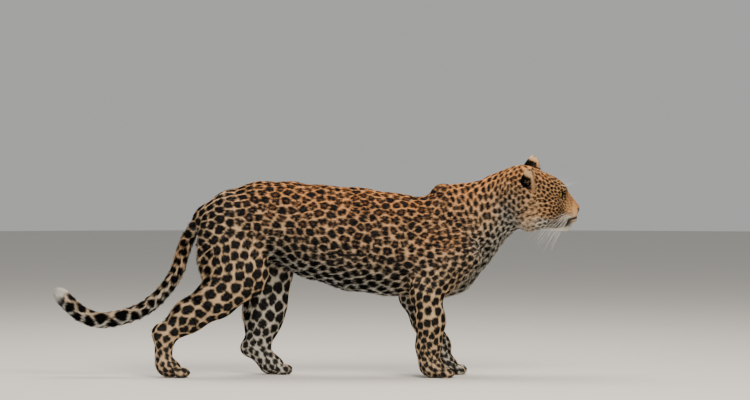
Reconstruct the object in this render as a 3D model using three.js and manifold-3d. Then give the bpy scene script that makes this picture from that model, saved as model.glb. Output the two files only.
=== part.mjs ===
// A life-size African leopard standing in mid-step, looking ahead, as a still museum model.
// Millimetres, +Z up, nose towards +X, the leopard's left towards +Y. The floor is z = 0.
//
// The flesh is one smooth field: rounded limbs and ellipsoids that flow into one another.
// It is meshed region by region and parted by thin cuts into head, jaw, neck, torso and legs.
// The tail, ears, lids, lips and nose are swept or shaped from their own named sizes.

import * as THREE from "three";
import { mergeVertices } from "three/addons/utils/BufferGeometryUtils.js";
import Module from "manifold-3d";

const wasm = await Module();
wasm.setup();

// Driving sizes

const GAP = 0.3; // left between neighbouring pieces
const HALF_GAP = GAP / 2;
const SOLE_FLAT = 3; // how far the pads are pressed flat

const HEAD_AT = [747, 0, 574]; // middle of the head
const HEAD_YAW = 18; // degrees, to the leopard's left
const HEAD_PITCH = 10; // degrees, nose down
const HEAD_ROLL = 8; // degrees, left ear up

const EYE_RADIUS = 16.5;
const EYE_AT = [30, 29, 40]; // in the head's own frame
const EYE_TURN = 28; // degrees that each eye looks outwards

const LID_THICKNESS = 3.2;
const EYE_OPENING = [14.5, 8.5]; // half its width and half its height

const EAR_HEIGHT = 78;
const EAR_HALF_WIDTH = 31;
const EAR_DEPTH = 50; // how deep the cup is
const EAR_THICKNESS = 7;
const EAR_TURN = 8; // degrees that each ear opens outwards
// The middle of each ear's root, and its lean from upright in degrees: out to the side, and forwards
const EARS = {
  left: { side: 1, at: [-50, 44, 64], out: 10, forward: 15 },
  right: { side: -1, at: [-70, 52, 46], out: 30, forward: -16 },
};

// The line of the mouth in side view, front to corner, in the head's own frame: [x, z]
const MOUTH = [[150, -20], [112, -23], [92, -32], [70, -42], [44, -49], [16, -52]];
const LIP_RADIUS = 3.6;

// Sizes of the mesh cells, by how fine each region's forms are

const CELL = { torso: 34, neck: 27, thigh: 25, arm: 23, foreleg: 17, shank: 20, paw: 14, head: 12, jaw: 11, nose: 6 };

// Vectors, and the field's building blocks

const rad = (degrees) => (degrees * Math.PI) / 180;
const mix = (a, b, t) => a + (b - a) * t;
const clamp01 = (t) => Math.min(1, Math.max(0, t));
const mirrored = (side, [x, y, z]) => [x, side * y, z];

// A rounded limb from a to b: a ball that slides from radius ra to rb, squashed sideways by wa to wb.
function limb(a, ra, b, rb, wa = 1, wb = wa, blend = 25) {
  const along = [b[0] - a[0], b[1] - a[1], b[2] - a[2]];
  const length2 = along[0] ** 2 + along[1] ** 2 + along[2] ** 2;
  return {
    blend,
    distance(x, y, z) {
      const px = x - a[0];
      const py = y - a[1];
      const pz = z - a[2];
      const t = clamp01((px * along[0] + py * along[1] + pz * along[2]) / length2);
      const w = mix(wa, wb, t);
      const qy = (py - along[1] * t) / w;
      const off = Math.hypot(px - along[0] * t, qy, pz - along[2] * t);
      return (off - mix(ra, rb, t)) * Math.min(1, w);
    },
  };
}

// An ellipsoid, tipped nose-up by tilt degrees about the sideways axis.
function ball(centre, radii, blend = 25, tilt = 0) {
  const c = Math.cos(rad(tilt));
  const s = Math.sin(rad(tilt));
  return {
    blend,
    distance(x, y, z) {
      const dx = x - centre[0];
      const dz = z - centre[2];
      const px = dx * c + dz * s;
      const py = y - centre[1];
      const pz = dz * c - dx * s;
      const k0 = Math.hypot(px / radii[0], py / radii[1], pz / radii[2]);
      const k1 = Math.hypot(px / radii[0] ** 2, py / radii[1] ** 2, pz / radii[2] ** 2);
      return k1 < 1e-9 ? -Math.min(...radii) : (k0 * (k0 - 1)) / k1;
    },
  };
}

const hollow = (shape) => ({ ...shape, carve: true });

// A row of limbs through stations [point, radius, sideways squash].
function chain(stations, blend = 25) {
  return stations
    .slice(1)
    .map(([b, rb, wb], i) => limb(stations[i][0], stations[i][1], b, rb, stations[i][2], wb, blend));
}

// The smooth union of shapes in order, each flowing in over its own blend width.
function fieldOf(shapes) {
  return (x, y, z) => {
    let d = 1e3;
    for (const shape of shapes) {
      const e = shape.distance(x, y, z);
      const k = shape.blend;
      const other = shape.carve ? -e : e;
      const near = Math.max(k - Math.abs(d - other), 0) / k;
      const swell = (near * near * k) / 4;
      d = shape.carve ? Math.max(d, other) + swell : Math.min(d, other) - swell;
    }
    return d;
  };
}

// The trunk and the neck

const trunk = () => [
  ...chain([
    [[-262, 0, 511], 118, 0.76],
    [[-180, 0, 516], 134, 0.76],
    [[-87, 0, 510], 139, 0.77],
    [[12, 0, 479], 160, 0.78],
    [[127, 0, 457], 173, 0.74],
    [[243, 0, 440], 172, 0.69],
    [[381, 0, 427], 170, 0.6],
    [[462, 0, 484], 154, 0.6],
    [[495, 0, 510], 138, 0.62],
    [[551, 0, 538], 113, 0.66],
    [[617, 0, 576], 104, 0.7],
    [[676, 0, 598], 94, 0.76],
  ], 10),
  ball([446, 0, 386], [90, 72, 104]), // the breast
  ball([-360, 0, 520], [52, 46, 50], 30), // the root of the tail
  limb([-350, 0, 540], 34, [-400, 0, 496], 27, 1, 1, 12),
];

// One shoulder: the blade, the upper arm's muscle, and the arm down to the elbow.
const shoulder = (side, elbow) => [
  limb(mirrored(side, [412, 34, 608]), 32, mirrored(side, [472, 78, 415]), 60, 0.62, 0.7, 30),
  limb(mirrored(side, [478, 80, 392]), 58, elbow, 50, 0.68, 0.8, 30),
  ball(mirrored(side, [395, 84, 375]), [92, 40, 92], 35),
];

// A foreleg from elbow to wrist through [point, radius, squash], with its paw.
const forelegNear = {
  side: -1,
  elbow: [352, -90, 284],
  stations: [
    [[366, -88, 262], 54, 0.82],
    [[375, -83, 188], 49, 0.82],
    [[369, -79, 108], 41, 0.86],
    [[368, -78, 62], 37, 0.95],
  ],
  paw: [384, -78],
};
const forelegFar = {
  side: 1,
  elbow: [318, 88, 272],
  stations: [
    [[326, 87, 252], 50, 0.84],
    [[362, 83, 180], 46, 0.84],
    [[404, 78, 98], 39, 0.88],
    [[412, 77, 60], 36, 0.95],
  ],
  paw: [428, 77],
};

// A thigh from the hip and a shank down to the hock, with the heel, the foot bone and the paw.
const hindNear = {
  side: -1,
  thigh: [
    [[-276, -56, 476], 110, 0.6],
    [[-246, -70, 350], 84, 0.62],
  ],
  ham: [[-316, -60, 405], [76, 46, 108]],
  shank: [
    [[-232, -76, 338], 76, 0.62],
    [[-325, -80, 264], 63, 0.62],
    [[-415, -77, 206], 51, 0.66],
    [[-488, -74, 150], 41, 0.74],
  ],
  heel: [[-512, -74, 152], 27],
  foot: [
    [[-500, -74, 136], 35, 0.84],
    [[-502, -73, 56], 31, 0.95],
  ],
  paw: [-482, -73],
};
const hindFar = {
  side: 1,
  thigh: [
    [[-250, 56, 482], 106, 0.6],
    [[-166, 70, 350], 86, 0.62],
  ],
  ham: [[-262, 60, 412], [84, 46, 104]],
  shank: [
    [[-164, 76, 325], 80, 0.62],
    [[-170, 80, 240], 69, 0.6],
    [[-180, 78, 180], 56, 0.64],
    [[-193, 75, 120], 47, 0.7],
  ],
  heel: [[-232, 74, 90], 24],
  foot: [
    [[-204, 74, 92], 42, 0.72],
    [[-164, 73, 48], 34, 0.9],
  ],
  paw: [-148, 73],
};

// A paw: the wide pad with four toes fanned at its front. length stretches it.
function paw([x, y], length, halfWidth) {
  const toes = [-1.45, -0.5, 0.5, 1.45];
  return [
    ball([x, y, 33], [length * 0.46, halfWidth * 0.95, 33], 22),
    ...toes.map((t) => {
      const forward = length * (0.52 - 0.045 * t * t);
      return ball([x + forward, y + t * halfWidth * 0.5, 18.5], [25, halfWidth * 0.3, 20], 9);
    }),
  ];
}

const foreleg = (leg) => [
  ...shoulder(leg.side, leg.elbow),
  ...chain(leg.stations),
  ...paw(leg.paw, 96, 45),
];
const hindLeg = (leg) => [
  ...chain(leg.thigh, 40),
  ball(...leg.ham, 40),
  ...chain(leg.shank, 30),
  ball(leg.heel[0], [leg.heel[1], leg.heel[1] * 0.9, leg.heel[1]], 20),
  ...chain(leg.foot, 20),
  ...paw(leg.paw, 90, 39),
];

// The head, in its own frame: x to the nose, z up, y to the leopard's left.

const pair = (make) => [make(1), make(-1)];
const headShapes = () => [
  ball([-46, 0, 40], [74, 64, 68]), // the braincase
  ball([6, 0, 38], [60, 49, 57]), // the forehead
  ...pair((s) => ball([38, s * 24, 55], [24, 20, 20], 18)), // the brows
  limb([44, 0, 44], 30, [112, 0, 4], 16, 0.86, 1, 18), // the bridge of the nose
  ball([116, 0, -4], [14, 18, 13], 8), // the nose
  limb([36, 0, -12], 46, [88, 0, -18], 30, 0.96, 1.2, 20), // the muzzle
  ...pair((s) => ball([89, s * 20, -28], [32, 24, 25], 10)), // the whisker pads
  limb([-20, 0, -48], 42, [91, 0, -58], 22, 1.15, 1.2, 16), // the lower jaw
  ...pair((s) => ball([-10, s * 46, -28], [55, 34, 50], 25)), // the cheeks
  ...pair((s) => limb([32, s * 46, 8], 18, [-40, s * 60, 12], 24, 0.8, 0.8, 20)), // cheekbones
  ...pair((s) => ball([-50, s * 42, -42], [46, 36, 54], 30)), // the ruff
  ...pair((s) => hollow(ball([52, s * 47, 42], [17, 15, 13], 12))), // the eyes' hollows
  ball([-95, 0, 20], [70, 72, 88], 40), // the nape
];

const headTurn = new THREE.Matrix4()
  .makeRotationZ(rad(HEAD_YAW))
  .multiply(new THREE.Matrix4().makeRotationY(rad(HEAD_PITCH)))
  .multiply(new THREE.Matrix4().makeRotationX(rad(HEAD_ROLL)));
const headMatrix = new THREE.Matrix4().makeTranslation(...HEAD_AT).multiply(headTurn);
const headInverse = headMatrix.clone().invert();

// The same shapes, measured from points of the room.
function inHeadFrame(shapes) {
  const e = headInverse.elements;
  return shapes.map((shape) => ({
    ...shape,
    distance: (x, y, z) =>
      shape.distance(
        e[0] * x + e[4] * y + e[8] * z + e[12],
        e[1] * x + e[5] * y + e[9] * z + e[13],
        e[2] * x + e[6] * y + e[10] * z + e[14],
      ),
  }));
}

// Everything of flesh in one list, so that neighbours flow into each other across the cuts.
const bodyField = fieldOf([
  ...trunk(),
  ...foreleg(forelegNear),
  ...foreleg(forelegFar),
  ...hindLeg(hindNear),
  ...hindLeg(hindFar),
]);
const headField = fieldOf(headShapes());
const neckAndHead = fieldOf([...trunk(), ...inHeadFrame(headShapes())]);

// Meshing

// The twelve edges of a cube are numbered axis * 4 + corner, the corner's bits stepping along the other two axes.
const cubeEdges = [0, 1, 2].flatMap((axis) => [0, 1, 2, 3].map((corner) => ({ axis, corner })));

// Which of a cube's crossed edges belong to one sheet of the surface: the sheet of each edge, or -1.
// On a face crossed four times, the sign in its middle says which corners are cut off.
function sheetsOf(sign, valueAt) {
  const sheet = cubeEdges.map(({ axis, corner }, n) => {
    const a = [0, 0, 0];
    a[(axis + 1) % 3] = corner & 1;
    a[(axis + 2) % 3] = corner >> 1;
    const b = [...a];
    b[axis] = 1;
    return sign(a) === sign(b) ? -1 : n;
  });
  const join = (m, n) => {
    const [from, to] = [sheet[n], sheet[m]];
    sheet.forEach((s, i) => {
      if (s === from) sheet[i] = to;
    });
  };
  for (let d = 0; d < 3; d++)
    for (const side of [0, 1]) {
      const u = (d + 1) % 3;
      const v = (d + 2) % 3;
      const alongU = (ov) => u * 4 + ov + 2 * side;
      const alongV = (ou) => v * 4 + side + 2 * ou;
      const crossed = [alongU(0), alongU(1), alongV(0), alongV(1)].filter((n) => sheet[n] >= 0);
      if (crossed.length === 2) join(...crossed);
      if (crossed.length < 4) continue;
      const corners = [[0, 0], [1, 0], [0, 1], [1, 1]].map(([ou, ov]) => {
        const c = [0, 0, 0];
        c[d] = side;
        c[u] = ou;
        c[v] = ov;
        return { c, ou, ov };
      });
      const middle = corners.reduce((sum, { c }) => sum + valueAt(c), 0) < 0;
      for (const { c, ou, ov } of corners) if (sign(c) !== middle) join(alongU(ov), alongV(ou));
    }
  return sheet;
}

// The field's zero surface on a lattice of cubes, one vertex for each sheet in each cube that it crosses.
// Each vertex is then drawn onto the surface along the field's slope.
function surfaceOf(field, low, high, cell, outset = 0) {
  const counts = low.map((l, i) => Math.ceil((high[i] - l) / cell) + 2);
  const [nx, ny, nz] = counts;
  const at = (i, j, k) => (k * ny + j) * nx + i;
  const place = (i, axis) => low[axis] + (i - 0.5) * cell;
  const value = (x, y, z) => field(x, y, z) - outset;
  const values = new Float64Array(nx * ny * nz);
  for (let k = 0; k < nz; k++)
    for (let j = 0; j < ny; j++)
      for (let i = 0; i < nx; i++) {
        const edge = !i || !j || !k || i === nx - 1 || j === ny - 1 || k === nz - 1;
        const v = value(place(i, 0), place(j, 1), place(k, 2));
        values[at(i, j, k)] = edge ? Math.max(v, cell / 4) : v;
      }
  const slopeStep = cell / 50;
  const draw = (p) => {
    const start = [...p];
    for (let pass = 0; pass < 3; pass++) {
      const d = value(...p);
      const slope = [0, 1, 2].map((a) => {
        const q = [...p];
        q[a] += slopeStep;
        return (value(...q) - d) / slopeStep;
      });
      const size2 = slope[0] ** 2 + slope[1] ** 2 + slope[2] ** 2;
      if (size2 < 1e-6) break;
      for (let a = 0; a < 3; a++) {
        const moved = p[a] - (d * slope[a]) / size2;
        p[a] = Math.min(start[a] + cell * 0.4, Math.max(start[a] - cell * 0.4, moved));
      }
    }
    return p;
  };
  const positions = [];
  const vertexOf = new Map(); // cube's number * 12 + edge, to the vertex of that edge's sheet
  for (let k = 0; k < nz - 1; k++)
    for (let j = 0; j < ny - 1; j++)
      for (let i = 0; i < nx - 1; i++) {
        const valueAt = ([a, b, c]) => values[at(i + a, j + b, k + c)];
        const sheet = sheetsOf((c) => valueAt(c) < 0, valueAt);
        const atEdge = [i, j, k].some((n, c) => n === 0 || n === counts[c] - 2);
        for (const one of new Set(sheet.filter((n) => n >= 0))) {
          const sum = [0, 0, 0];
          let crossings = 0;
          sheet.forEach((s, n) => {
            if (s !== one) return;
            const { axis, corner } = cubeEdges[n];
            const a = [i, j, k];
            a[(axis + 1) % 3] += corner & 1;
            a[(axis + 2) % 3] += corner >> 1;
            const b = [...a];
            b[axis] += 1;
            const t = values[at(...a)] / (values[at(...a)] - values[at(...b)]);
            for (let c = 0; c < 3; c++) sum[c] += mix(place(a[c], c), place(b[c], c), t);
            crossings++;
            vertexOf.set(at(i, j, k) * 12 + n, positions.length / 3);
          });
          const middle = sum.map((c) => c / crossings);
          positions.push(...(atEdge ? middle : draw(middle)));
        }
      }
  const index = [];
  for (let k = 0; k < nz - 1; k++)
    for (let j = 0; j < ny - 1; j++)
      for (let i = 0; i < nx - 1; i++)
        for (let axis = 0; axis < 3; axis++) {
          const u = (axis + 1) % 3;
          const v = (axis + 2) % 3;
          const end = [i, j, k];
          if (!end[u] || !end[v]) continue;
          end[axis] += 1;
          const inside = values[at(i, j, k)] < 0;
          if (inside === values[at(...end)] < 0) continue;
          const quad = [[0, 0], [1, 0], [1, 1], [0, 1]].map(([du, dv]) => {
            const cube = [i, j, k];
            cube[u] -= du;
            cube[v] -= dv;
            return vertexOf.get(at(...cube) * 12 + axis * 4 + du + 2 * dv);
          });
          if (!inside) quad.reverse();
          index.push(quad[0], quad[1], quad[2], quad[0], quad[2], quad[3]);
        }
  return solidFrom(positions, index);
}

// Solids: join, cut and part

const solidFrom = (positions, index) =>
  new wasm.Manifold(
    new wasm.Mesh({
      numProp: 3,
      vertProperties: new Float32Array(positions),
      triVerts: new Uint32Array(index),
    }),
  );

function solidOf(geometry, matrix) {
  const bare = new THREE.BufferGeometry()
    .setAttribute("position", geometry.getAttribute("position").clone())
    .setIndex(geometry.index);
  if (matrix) bare.applyMatrix4(matrix);
  const merged = mergeVertices(bare, 1e-3);
  return solidFrom(merged.attributes.position.array, merged.index.array);
}

const largest = (solid) =>
  solid.decompose().reduce((best, piece) => (piece.volume() > best.volume() ? piece : best));

// Keeps what lies in front of a plane through a point.
function inFrontOf(solid, point, normal) {
  const n = new THREE.Vector3(...normal).normalize();
  return solid.trimByPlane(n.toArray(), n.dot(new THREE.Vector3(...point)) + HALF_GAP);
}

// A block that fills one side: its top runs from the rear to the front height, its front stands at the flank.
function sideBlock(side, inner, outline) {
  const shape = new THREE.Shape(outline.map(([x, z]) => new THREE.Vector2(x, z)));
  const depth = 400;
  const block = new THREE.ExtrudeGeometry(shape, { depth, bevelEnabled: false });
  const upright = new THREE.Matrix4().makeRotationX(Math.PI / 2); // (x, y, depth) to (x, -depth, y)
  const shift = new THREE.Matrix4().makeTranslation(0, side > 0 ? inner + depth : -inner, 0);
  return solidOf(block, shift.multiply(upright));
}

const grown = (outline, by) => {
  const n = outline.length;
  return outline.map((p, i) => {
    const [a, b] = [outline[(i + n - 1) % n], outline[(i + 1) % n]];
    const e1 = new THREE.Vector2(p[0] - a[0], p[1] - a[1]).normalize();
    const e2 = new THREE.Vector2(b[0] - p[0], b[1] - p[1]).normalize();
    const n1 = new THREE.Vector2(e1.y, -e1.x);
    const n2 = new THREE.Vector2(e2.y, -e2.x);
    const m = n1.clone().add(n2);
    m.multiplyScalar(by / (1 + n1.dot(n2)));
    return [p[0] + m.x, p[1] + m.y];
  });
};

// Outlines run anticlockwise in the side view, x and z.
const FORE_CUT = [[262, -20], [520, -20], [560, 120], [508, 352], [262, 262]];
const HIND_CUT = [[-620, -20], [-60, -20], [-68, 362], [-410, 455], [-620, 500]];
const FORE_INNER = 36;

const soles = (solid) => inFrontOf(solid, [0, 0, SOLE_FLAT - HALF_GAP], [0, 0, 1]);

// The tail: a round tube through these stations [point, radius], parted into three lengths.

const TAIL = [
  [[-397, 0, 500], 27],
  [[-421, -4, 462], 26],
  [[-441, -10, 410], 25.5],
  [[-462, -18, 345], 26],
  [[-500, -28, 287], 26],
  [[-560, -36, 232], 26.5],
  [[-640, -38, 199], 26.5],
  [[-712, -34, 190], 27],
  [[-772, -28, 208], 28],
  [[-818, -24, 246], 27.5],
  [[-842, -22, 270], 26],
];
const TAIL_SIDES = 10;

// A tube along a curve from share t0 to t1: rings of a polygon, closed by flat ends or a round tip.
function tube(curve, radiusAt, t0, t1, rings, sides, roundTip) {
  const positions = [];
  const index = [];
  const steps = roundTip ? rings + 5 : rings;
  for (let i = 0; i <= steps; i++) {
    const tipStep = Math.max(0, i - rings) / (steps - rings || 1);
    const t = mix(t0, t1, Math.min(1, i / rings));
    const centre = curve.getPointAt(t);
    const ahead = curve.getTangentAt(t);
    const across = new THREE.Vector3(0, 1, 0).addScaledVector(ahead, -ahead.y).normalize();
    const up = across.clone().cross(ahead);
    const turn = tipStep * Math.PI * 0.5;
    const radius = radiusAt(t) * (i > rings ? Math.max(Math.cos(turn), 0.12) : 1);
    centre.addScaledVector(ahead, radiusAt(t) * Math.sin(turn));
    for (let s = 0; s < sides; s++) {
      const angle = (s / sides) * 2 * Math.PI;
      const p = centre
        .clone()
        .addScaledVector(across, radius * Math.cos(angle))
        .addScaledVector(up, radius * Math.sin(angle));
      positions.push(...p.toArray());
    }
  }
  for (let i = 0; i < steps; i++)
    for (let s = 0; s < sides; s++) {
      const a = i * sides + s;
      const b = i * sides + ((s + 1) % sides);
      index.push(a, b + sides, b, a, a + sides, b + sides);
    }
  for (const [ring, flip] of [[0, false], [steps, true]]) {
    const first = ring * sides;
    for (let s = 1; s < sides - 1; s++)
      index.push(...(flip ? [first, first + s + 1, first + s] : [first, first + s, first + s + 1]));
  }
  const solid = solidFrom(positions, index);
  return solid.volume() > 0 ? solid : solidFrom(positions, index.reverse());
}

const tailCurve = new THREE.CatmullRomCurve3(TAIL.map(([p]) => new THREE.Vector3(...p)));
const tailRadius = (t) => {
  const place = t * (TAIL.length - 1);
  const i = Math.min(TAIL.length - 2, Math.floor(place));
  return mix(TAIL[i][1], TAIL[i + 1][1], place - i);
};
const tailGap = GAP / tailCurve.getLength();
const roundTail = tube(tailCurve, (t) => tailRadius(t) + GAP, 0, 0.34, 15, TAIL_SIDES, false);
const pieces = {};
const NECK_PLANE = { point: [655, 0, 590], normal: [0.93, 0.2, -0.3] };
const CHEST_PLANE = { point: [498, 0, 500], normal: [0.84, 0, 0.54] };
const TAIL_PLANE = { point: [-398, 0, 499], normal: [-0.62, 0, -0.78] };
const back = (v) => v.map((c) => -c);
const NECK_BOX = [[380, -150, 330], [780, 160, 730]];

function torso() {
  let solid = surfaceOf(bodyField, [-440, -160, 200], [600, 160, 690], CELL.torso);
  solid = inFrontOf(solid, CHEST_PLANE.point, back(CHEST_PLANE.normal));
  solid = inFrontOf(solid, TAIL_PLANE.point, back(TAIL_PLANE.normal));
  for (const side of [1, -1]) {
    solid = solid.subtract(sideBlock(side, FORE_INNER - HALF_GAP, grown(FORE_CUT, HALF_GAP)));
    solid = solid.subtract(sideBlock(side, -HALF_GAP, grown(HIND_CUT, HALF_GAP)));
  }
  return largest(solid.subtract(roundTail));
}

function neck() {
  let solid = surfaceOf(neckAndHead, ...NECK_BOX, CELL.neck);
  solid = inFrontOf(solid, CHEST_PLANE.point, CHEST_PLANE.normal);
  solid = inFrontOf(solid, NECK_PLANE.point, back(NECK_PLANE.normal));
  return largest(solid);
}

function addLeg(name, side, cut, inner, boxes, joints) {
  const block = sideBlock(side, inner + HALF_GAP, grown(cut, -HALF_GAP));
  boxes.forEach(([part, low, high, cell], n) => {
    let solid = surfaceOf(bodyField, low, high, cell).intersect(block);
    if (n > 0) solid = inFrontOf(solid, ...joints[n - 1]);
    if (n < joints.length) solid = inFrontOf(solid, joints[n][0], back(joints[n][1]));
    pieces[name + "_" + part] = largest(soles(solid.subtract(roundTail)));
  });
}

pieces.torso = torso();
pieces.neck = neck();
addLeg(
  "foreleg_right",
  -1,
  FORE_CUT,
  FORE_INNER,
  [
    ["upper", [240, -170, 130], [560, 0, 380], CELL.arm],
    ["lower", [290, -150, 40], [450, -10, 270], CELL.foreleg],
    ["paw", [310, -140, -12], [470, -20, 110], CELL.paw],
  ],
  [
    [[372, -84, 215], [0, 0, -1]],
    [[368, -78, 76], [0, 0, -1]],
  ],
);
addLeg(
  "foreleg_left",
  1,
  FORE_CUT,
  FORE_INNER,
  [
    ["upper", [240, 0, 130], [560, 170, 380], CELL.arm],
    ["lower", [270, 10, 40], [490, 150, 270], CELL.foreleg],
    ["paw", [355, 20, -12], [515, 140, 110], CELL.paw],
  ],
  [
    [[346, 84, 212], [0.42, 0, -0.9]],
    [[408, 77, 78], [0.2, 0, -0.98]],
  ],
);
addLeg(
  "hindleg_right",
  -1,
  HIND_CUT,
  0,
  [
    ["thigh", [-460, -180, 200], [-40, 30, 520], CELL.thigh],
    ["shank", [-560, -160, 90], [-160, 10, 430], CELL.shank],
    ["paw", [-560, -140, -12], [-390, -20, 150], CELL.paw],
  ],
  [
    [[-262, -76, 318], [-0.35, 0, -0.94]],
    [[-500, -74, 108], [0, 0, -1]],
  ],
);
addLeg(
  "hindleg_left",
  1,
  HIND_CUT,
  0,
  [
    ["thigh", [-460, -30, 200], [-40, 180, 520], CELL.thigh],
    ["shank", [-300, 10, 60], [-60, 160, 330], CELL.shank],
    ["paw", [-280, 20, -12], [-60, 140, 110], CELL.paw],
  ],
  [
    [[-168, 78, 268], [0, 0, -1]],
    [[-196, 74, 78], [0.35, 0, -0.94]],
  ],
);

// A prism between two side-view outlines: outline in x and z, from y0 to y1.
function prism(outline, y0, y1) {
  const shape = new THREE.Shape(outline.map(([x, z]) => new THREE.Vector2(x, z)));
  const block = new THREE.ExtrudeGeometry(shape, { depth: y1 - y0, bevelEnabled: false });
  const upright = new THREE.Matrix4().makeRotationX(Math.PI / 2);
  return solidOf(block, new THREE.Matrix4().makeTranslation(0, y1, 0).multiply(upright));
}

const ballSolid = (centre, radius, across = 14, down = 10) =>
  solidOf(
    new THREE.SphereGeometry(radius, across, down),
    new THREE.Matrix4().makeTranslation(...centre).multiply(new THREE.Matrix4().makeRotationX(Math.PI / 2)),
  );

// The almond between the lids, as a bar along the eye's line of sight.
function eyeOpening(side) {
  const [w, h] = EYE_OPENING;
  const almond = new THREE.Shape();
  almond.moveTo(-w, -1.5);
  almond.quadraticCurveTo(-w * 0.2, h * 2.1, w, 1.5);
  almond.quadraticCurveTo(w * 0.1, -h * 1.8, -w, -1.5);
  const bar = new THREE.ExtrudeGeometry(almond, { depth: 40, bevelEnabled: false, curveSegments: 6 });
  // the bar's length to +X, its width sideways and its height up, its low end towards the nose
  const lie = new THREE.Matrix4().makeBasis(
    new THREE.Vector3(0, side, 0),
    new THREE.Vector3(0, 0, side),
    new THREE.Vector3(1, 0, 0),
  );
  const turn = new THREE.Matrix4()
    .makeTranslation(...mirrored(side, EYE_AT))
    .multiply(new THREE.Matrix4().makeRotationZ(rad(side * EYE_TURN)))
    .multiply(new THREE.Matrix4().makeRotationY(rad(-6)))
    .multiply(lie);
  return solidOf(bar, turn);
}

// Where a level ray from the muzzle's axis leaves the flesh, at the height of the mouth.
function mouthHeight(x) {
  const i = Math.min(MOUTH.length - 2, Math.max(0, MOUTH.findIndex(([mx]) => mx < x) - 1));
  const j = x < MOUTH.at(-1)[0] ? MOUTH.length - 2 : i;
  const [[x0, z0], [x1, z1]] = [MOUTH[j], MOUTH[j + 1]];
  return mix(z0, z1, (x - x0) / (x1 - x0));
}
function lipPoint(field, angle, drop) {
  let [near, far] = [0, 110];
  const point = (r) => {
    const x = 44 + r * Math.cos(angle);
    return [x, r * Math.sin(angle), mouthHeight(x) + drop];
  };
  for (let pass = 0; pass < 24; pass++) {
    const middle = (near + far) / 2;
    if (field(...point(middle)) < 0) near = middle;
    else far = middle;
  }
  return point(near);
}

// A lip: a round cord along the mouth's edge, sunk to its middle in the flesh.
function lip(field, drop, radius) {
  const points = [];
  for (let n = -9; n <= 9; n++) points.push(new THREE.Vector3(...lipPoint(field, rad(n * 12.5), drop)));
  const curve = new THREE.CatmullRomCurve3(points);
  const taper = (t) => radius * (0.35 + 0.65 * Math.sqrt(Math.max(0, 1 - (2 * t - 1) ** 4)));
  return tube(curve, taper, 0, 1, 20, 6, false);
}

// The ear: crescent sections piled from root to tip, opening forwards.
function ear({ side, at, out, forward }) {
  const rows = 8;
  const half = 4; // steps from the middle of the crescent to its edge
  const positions = [];
  const index = [];
  for (let r = 0; r <= rows; r++) {
    const v = 1 - (1 - r / rows) ** 1.5 * 1;
    const up = v * EAR_HEIGHT;
    const round = v > 0.35 ? Math.sqrt(Math.max(0.012, 1 - ((v - 0.35) / 0.66) ** 2)) : 0.8 + (0.2 * v) / 0.35;
    const w = EAR_HALF_WIDTH * round;
    const cup = EAR_DEPTH * (1 - 0.45 * v);
    const thick = EAR_THICKNESS * (1.5 - v) * Math.max(0.25, round);
    const line = (u, back) => [
      cup * (u * u - 0.75) * (0.4 + 0.6 * round) - 10 * v * v - (back ? thick * (1 - 0.7 * u * u) : 0),
      w * u,
      up,
    ];
    for (let n = -half; n <= half; n++) positions.push(...line(n / half, false));
    for (let n = half; n >= -half; n--) positions.push(...line(n / half, true));
  }
  const ring = 4 * half + 2;
  for (let r = 0; r < rows; r++)
    for (let n = 0; n < ring; n++) {
      const a = r * ring + n;
      const b = r * ring + ((n + 1) % ring);
      index.push(a, b, b + ring, a, b + ring, a + ring);
    }
  for (const [start, flip] of [[0, true], [rows * ring, false]])
    for (let n = 0; n < 2 * half; n++) {
      const quad = [start + n, start + n + 1, start + ring - 2 - n, start + ring - 1 - n];
      if (flip) quad.reverse();
      index.push(quad[0], quad[1], quad[2], quad[0], quad[2], quad[3]);
    }
  let solid = solidFrom(positions, index);
  if (solid.volume() < 0) {
    for (let i = 0; i < index.length; i += 3) [index[i + 1], index[i + 2]] = [index[i + 2], index[i + 1]];
    solid = solidFrom(positions, index);
  }
  const stand = new THREE.Matrix4()
    .makeTranslation(...mirrored(side, at))
    .multiply(new THREE.Matrix4().makeRotationX(rad(-side * out)))
    .multiply(new THREE.Matrix4().makeRotationY(rad(forward)))
    .multiply(new THREE.Matrix4().makeRotationZ(rad(side * EAR_TURN)));
  return solid.transform(stand.elements);
}

// The nostrils: two commas that curl out to the sides of the nose.
const nostrils = () => [
  ...pair((s) => hollow(ball([126, s * 8, -7], [11, 4.2, 4.2], 3))),
  ...pair((s) => hollow(limb([120, s * 12, -9], 2.4, [108, s * 19, -6], 1.6, 1, 1, 3))),
  hollow(limb([131, 0, -10], 1.6, [126, 0, -24], 1.6, 1, 1, 3)),
];
const noseField = fieldOf([...headShapes(), ...nostrils()]);

const JAW_BLOCK = [...MOUTH, [2, -120], [150, -120]];
const NOSE_BLOCK = [[110, -17], [150, -17], [150, 12], [119, 12], [106, 5]];
const NOSE_HALF_WIDTH = 19;

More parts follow.
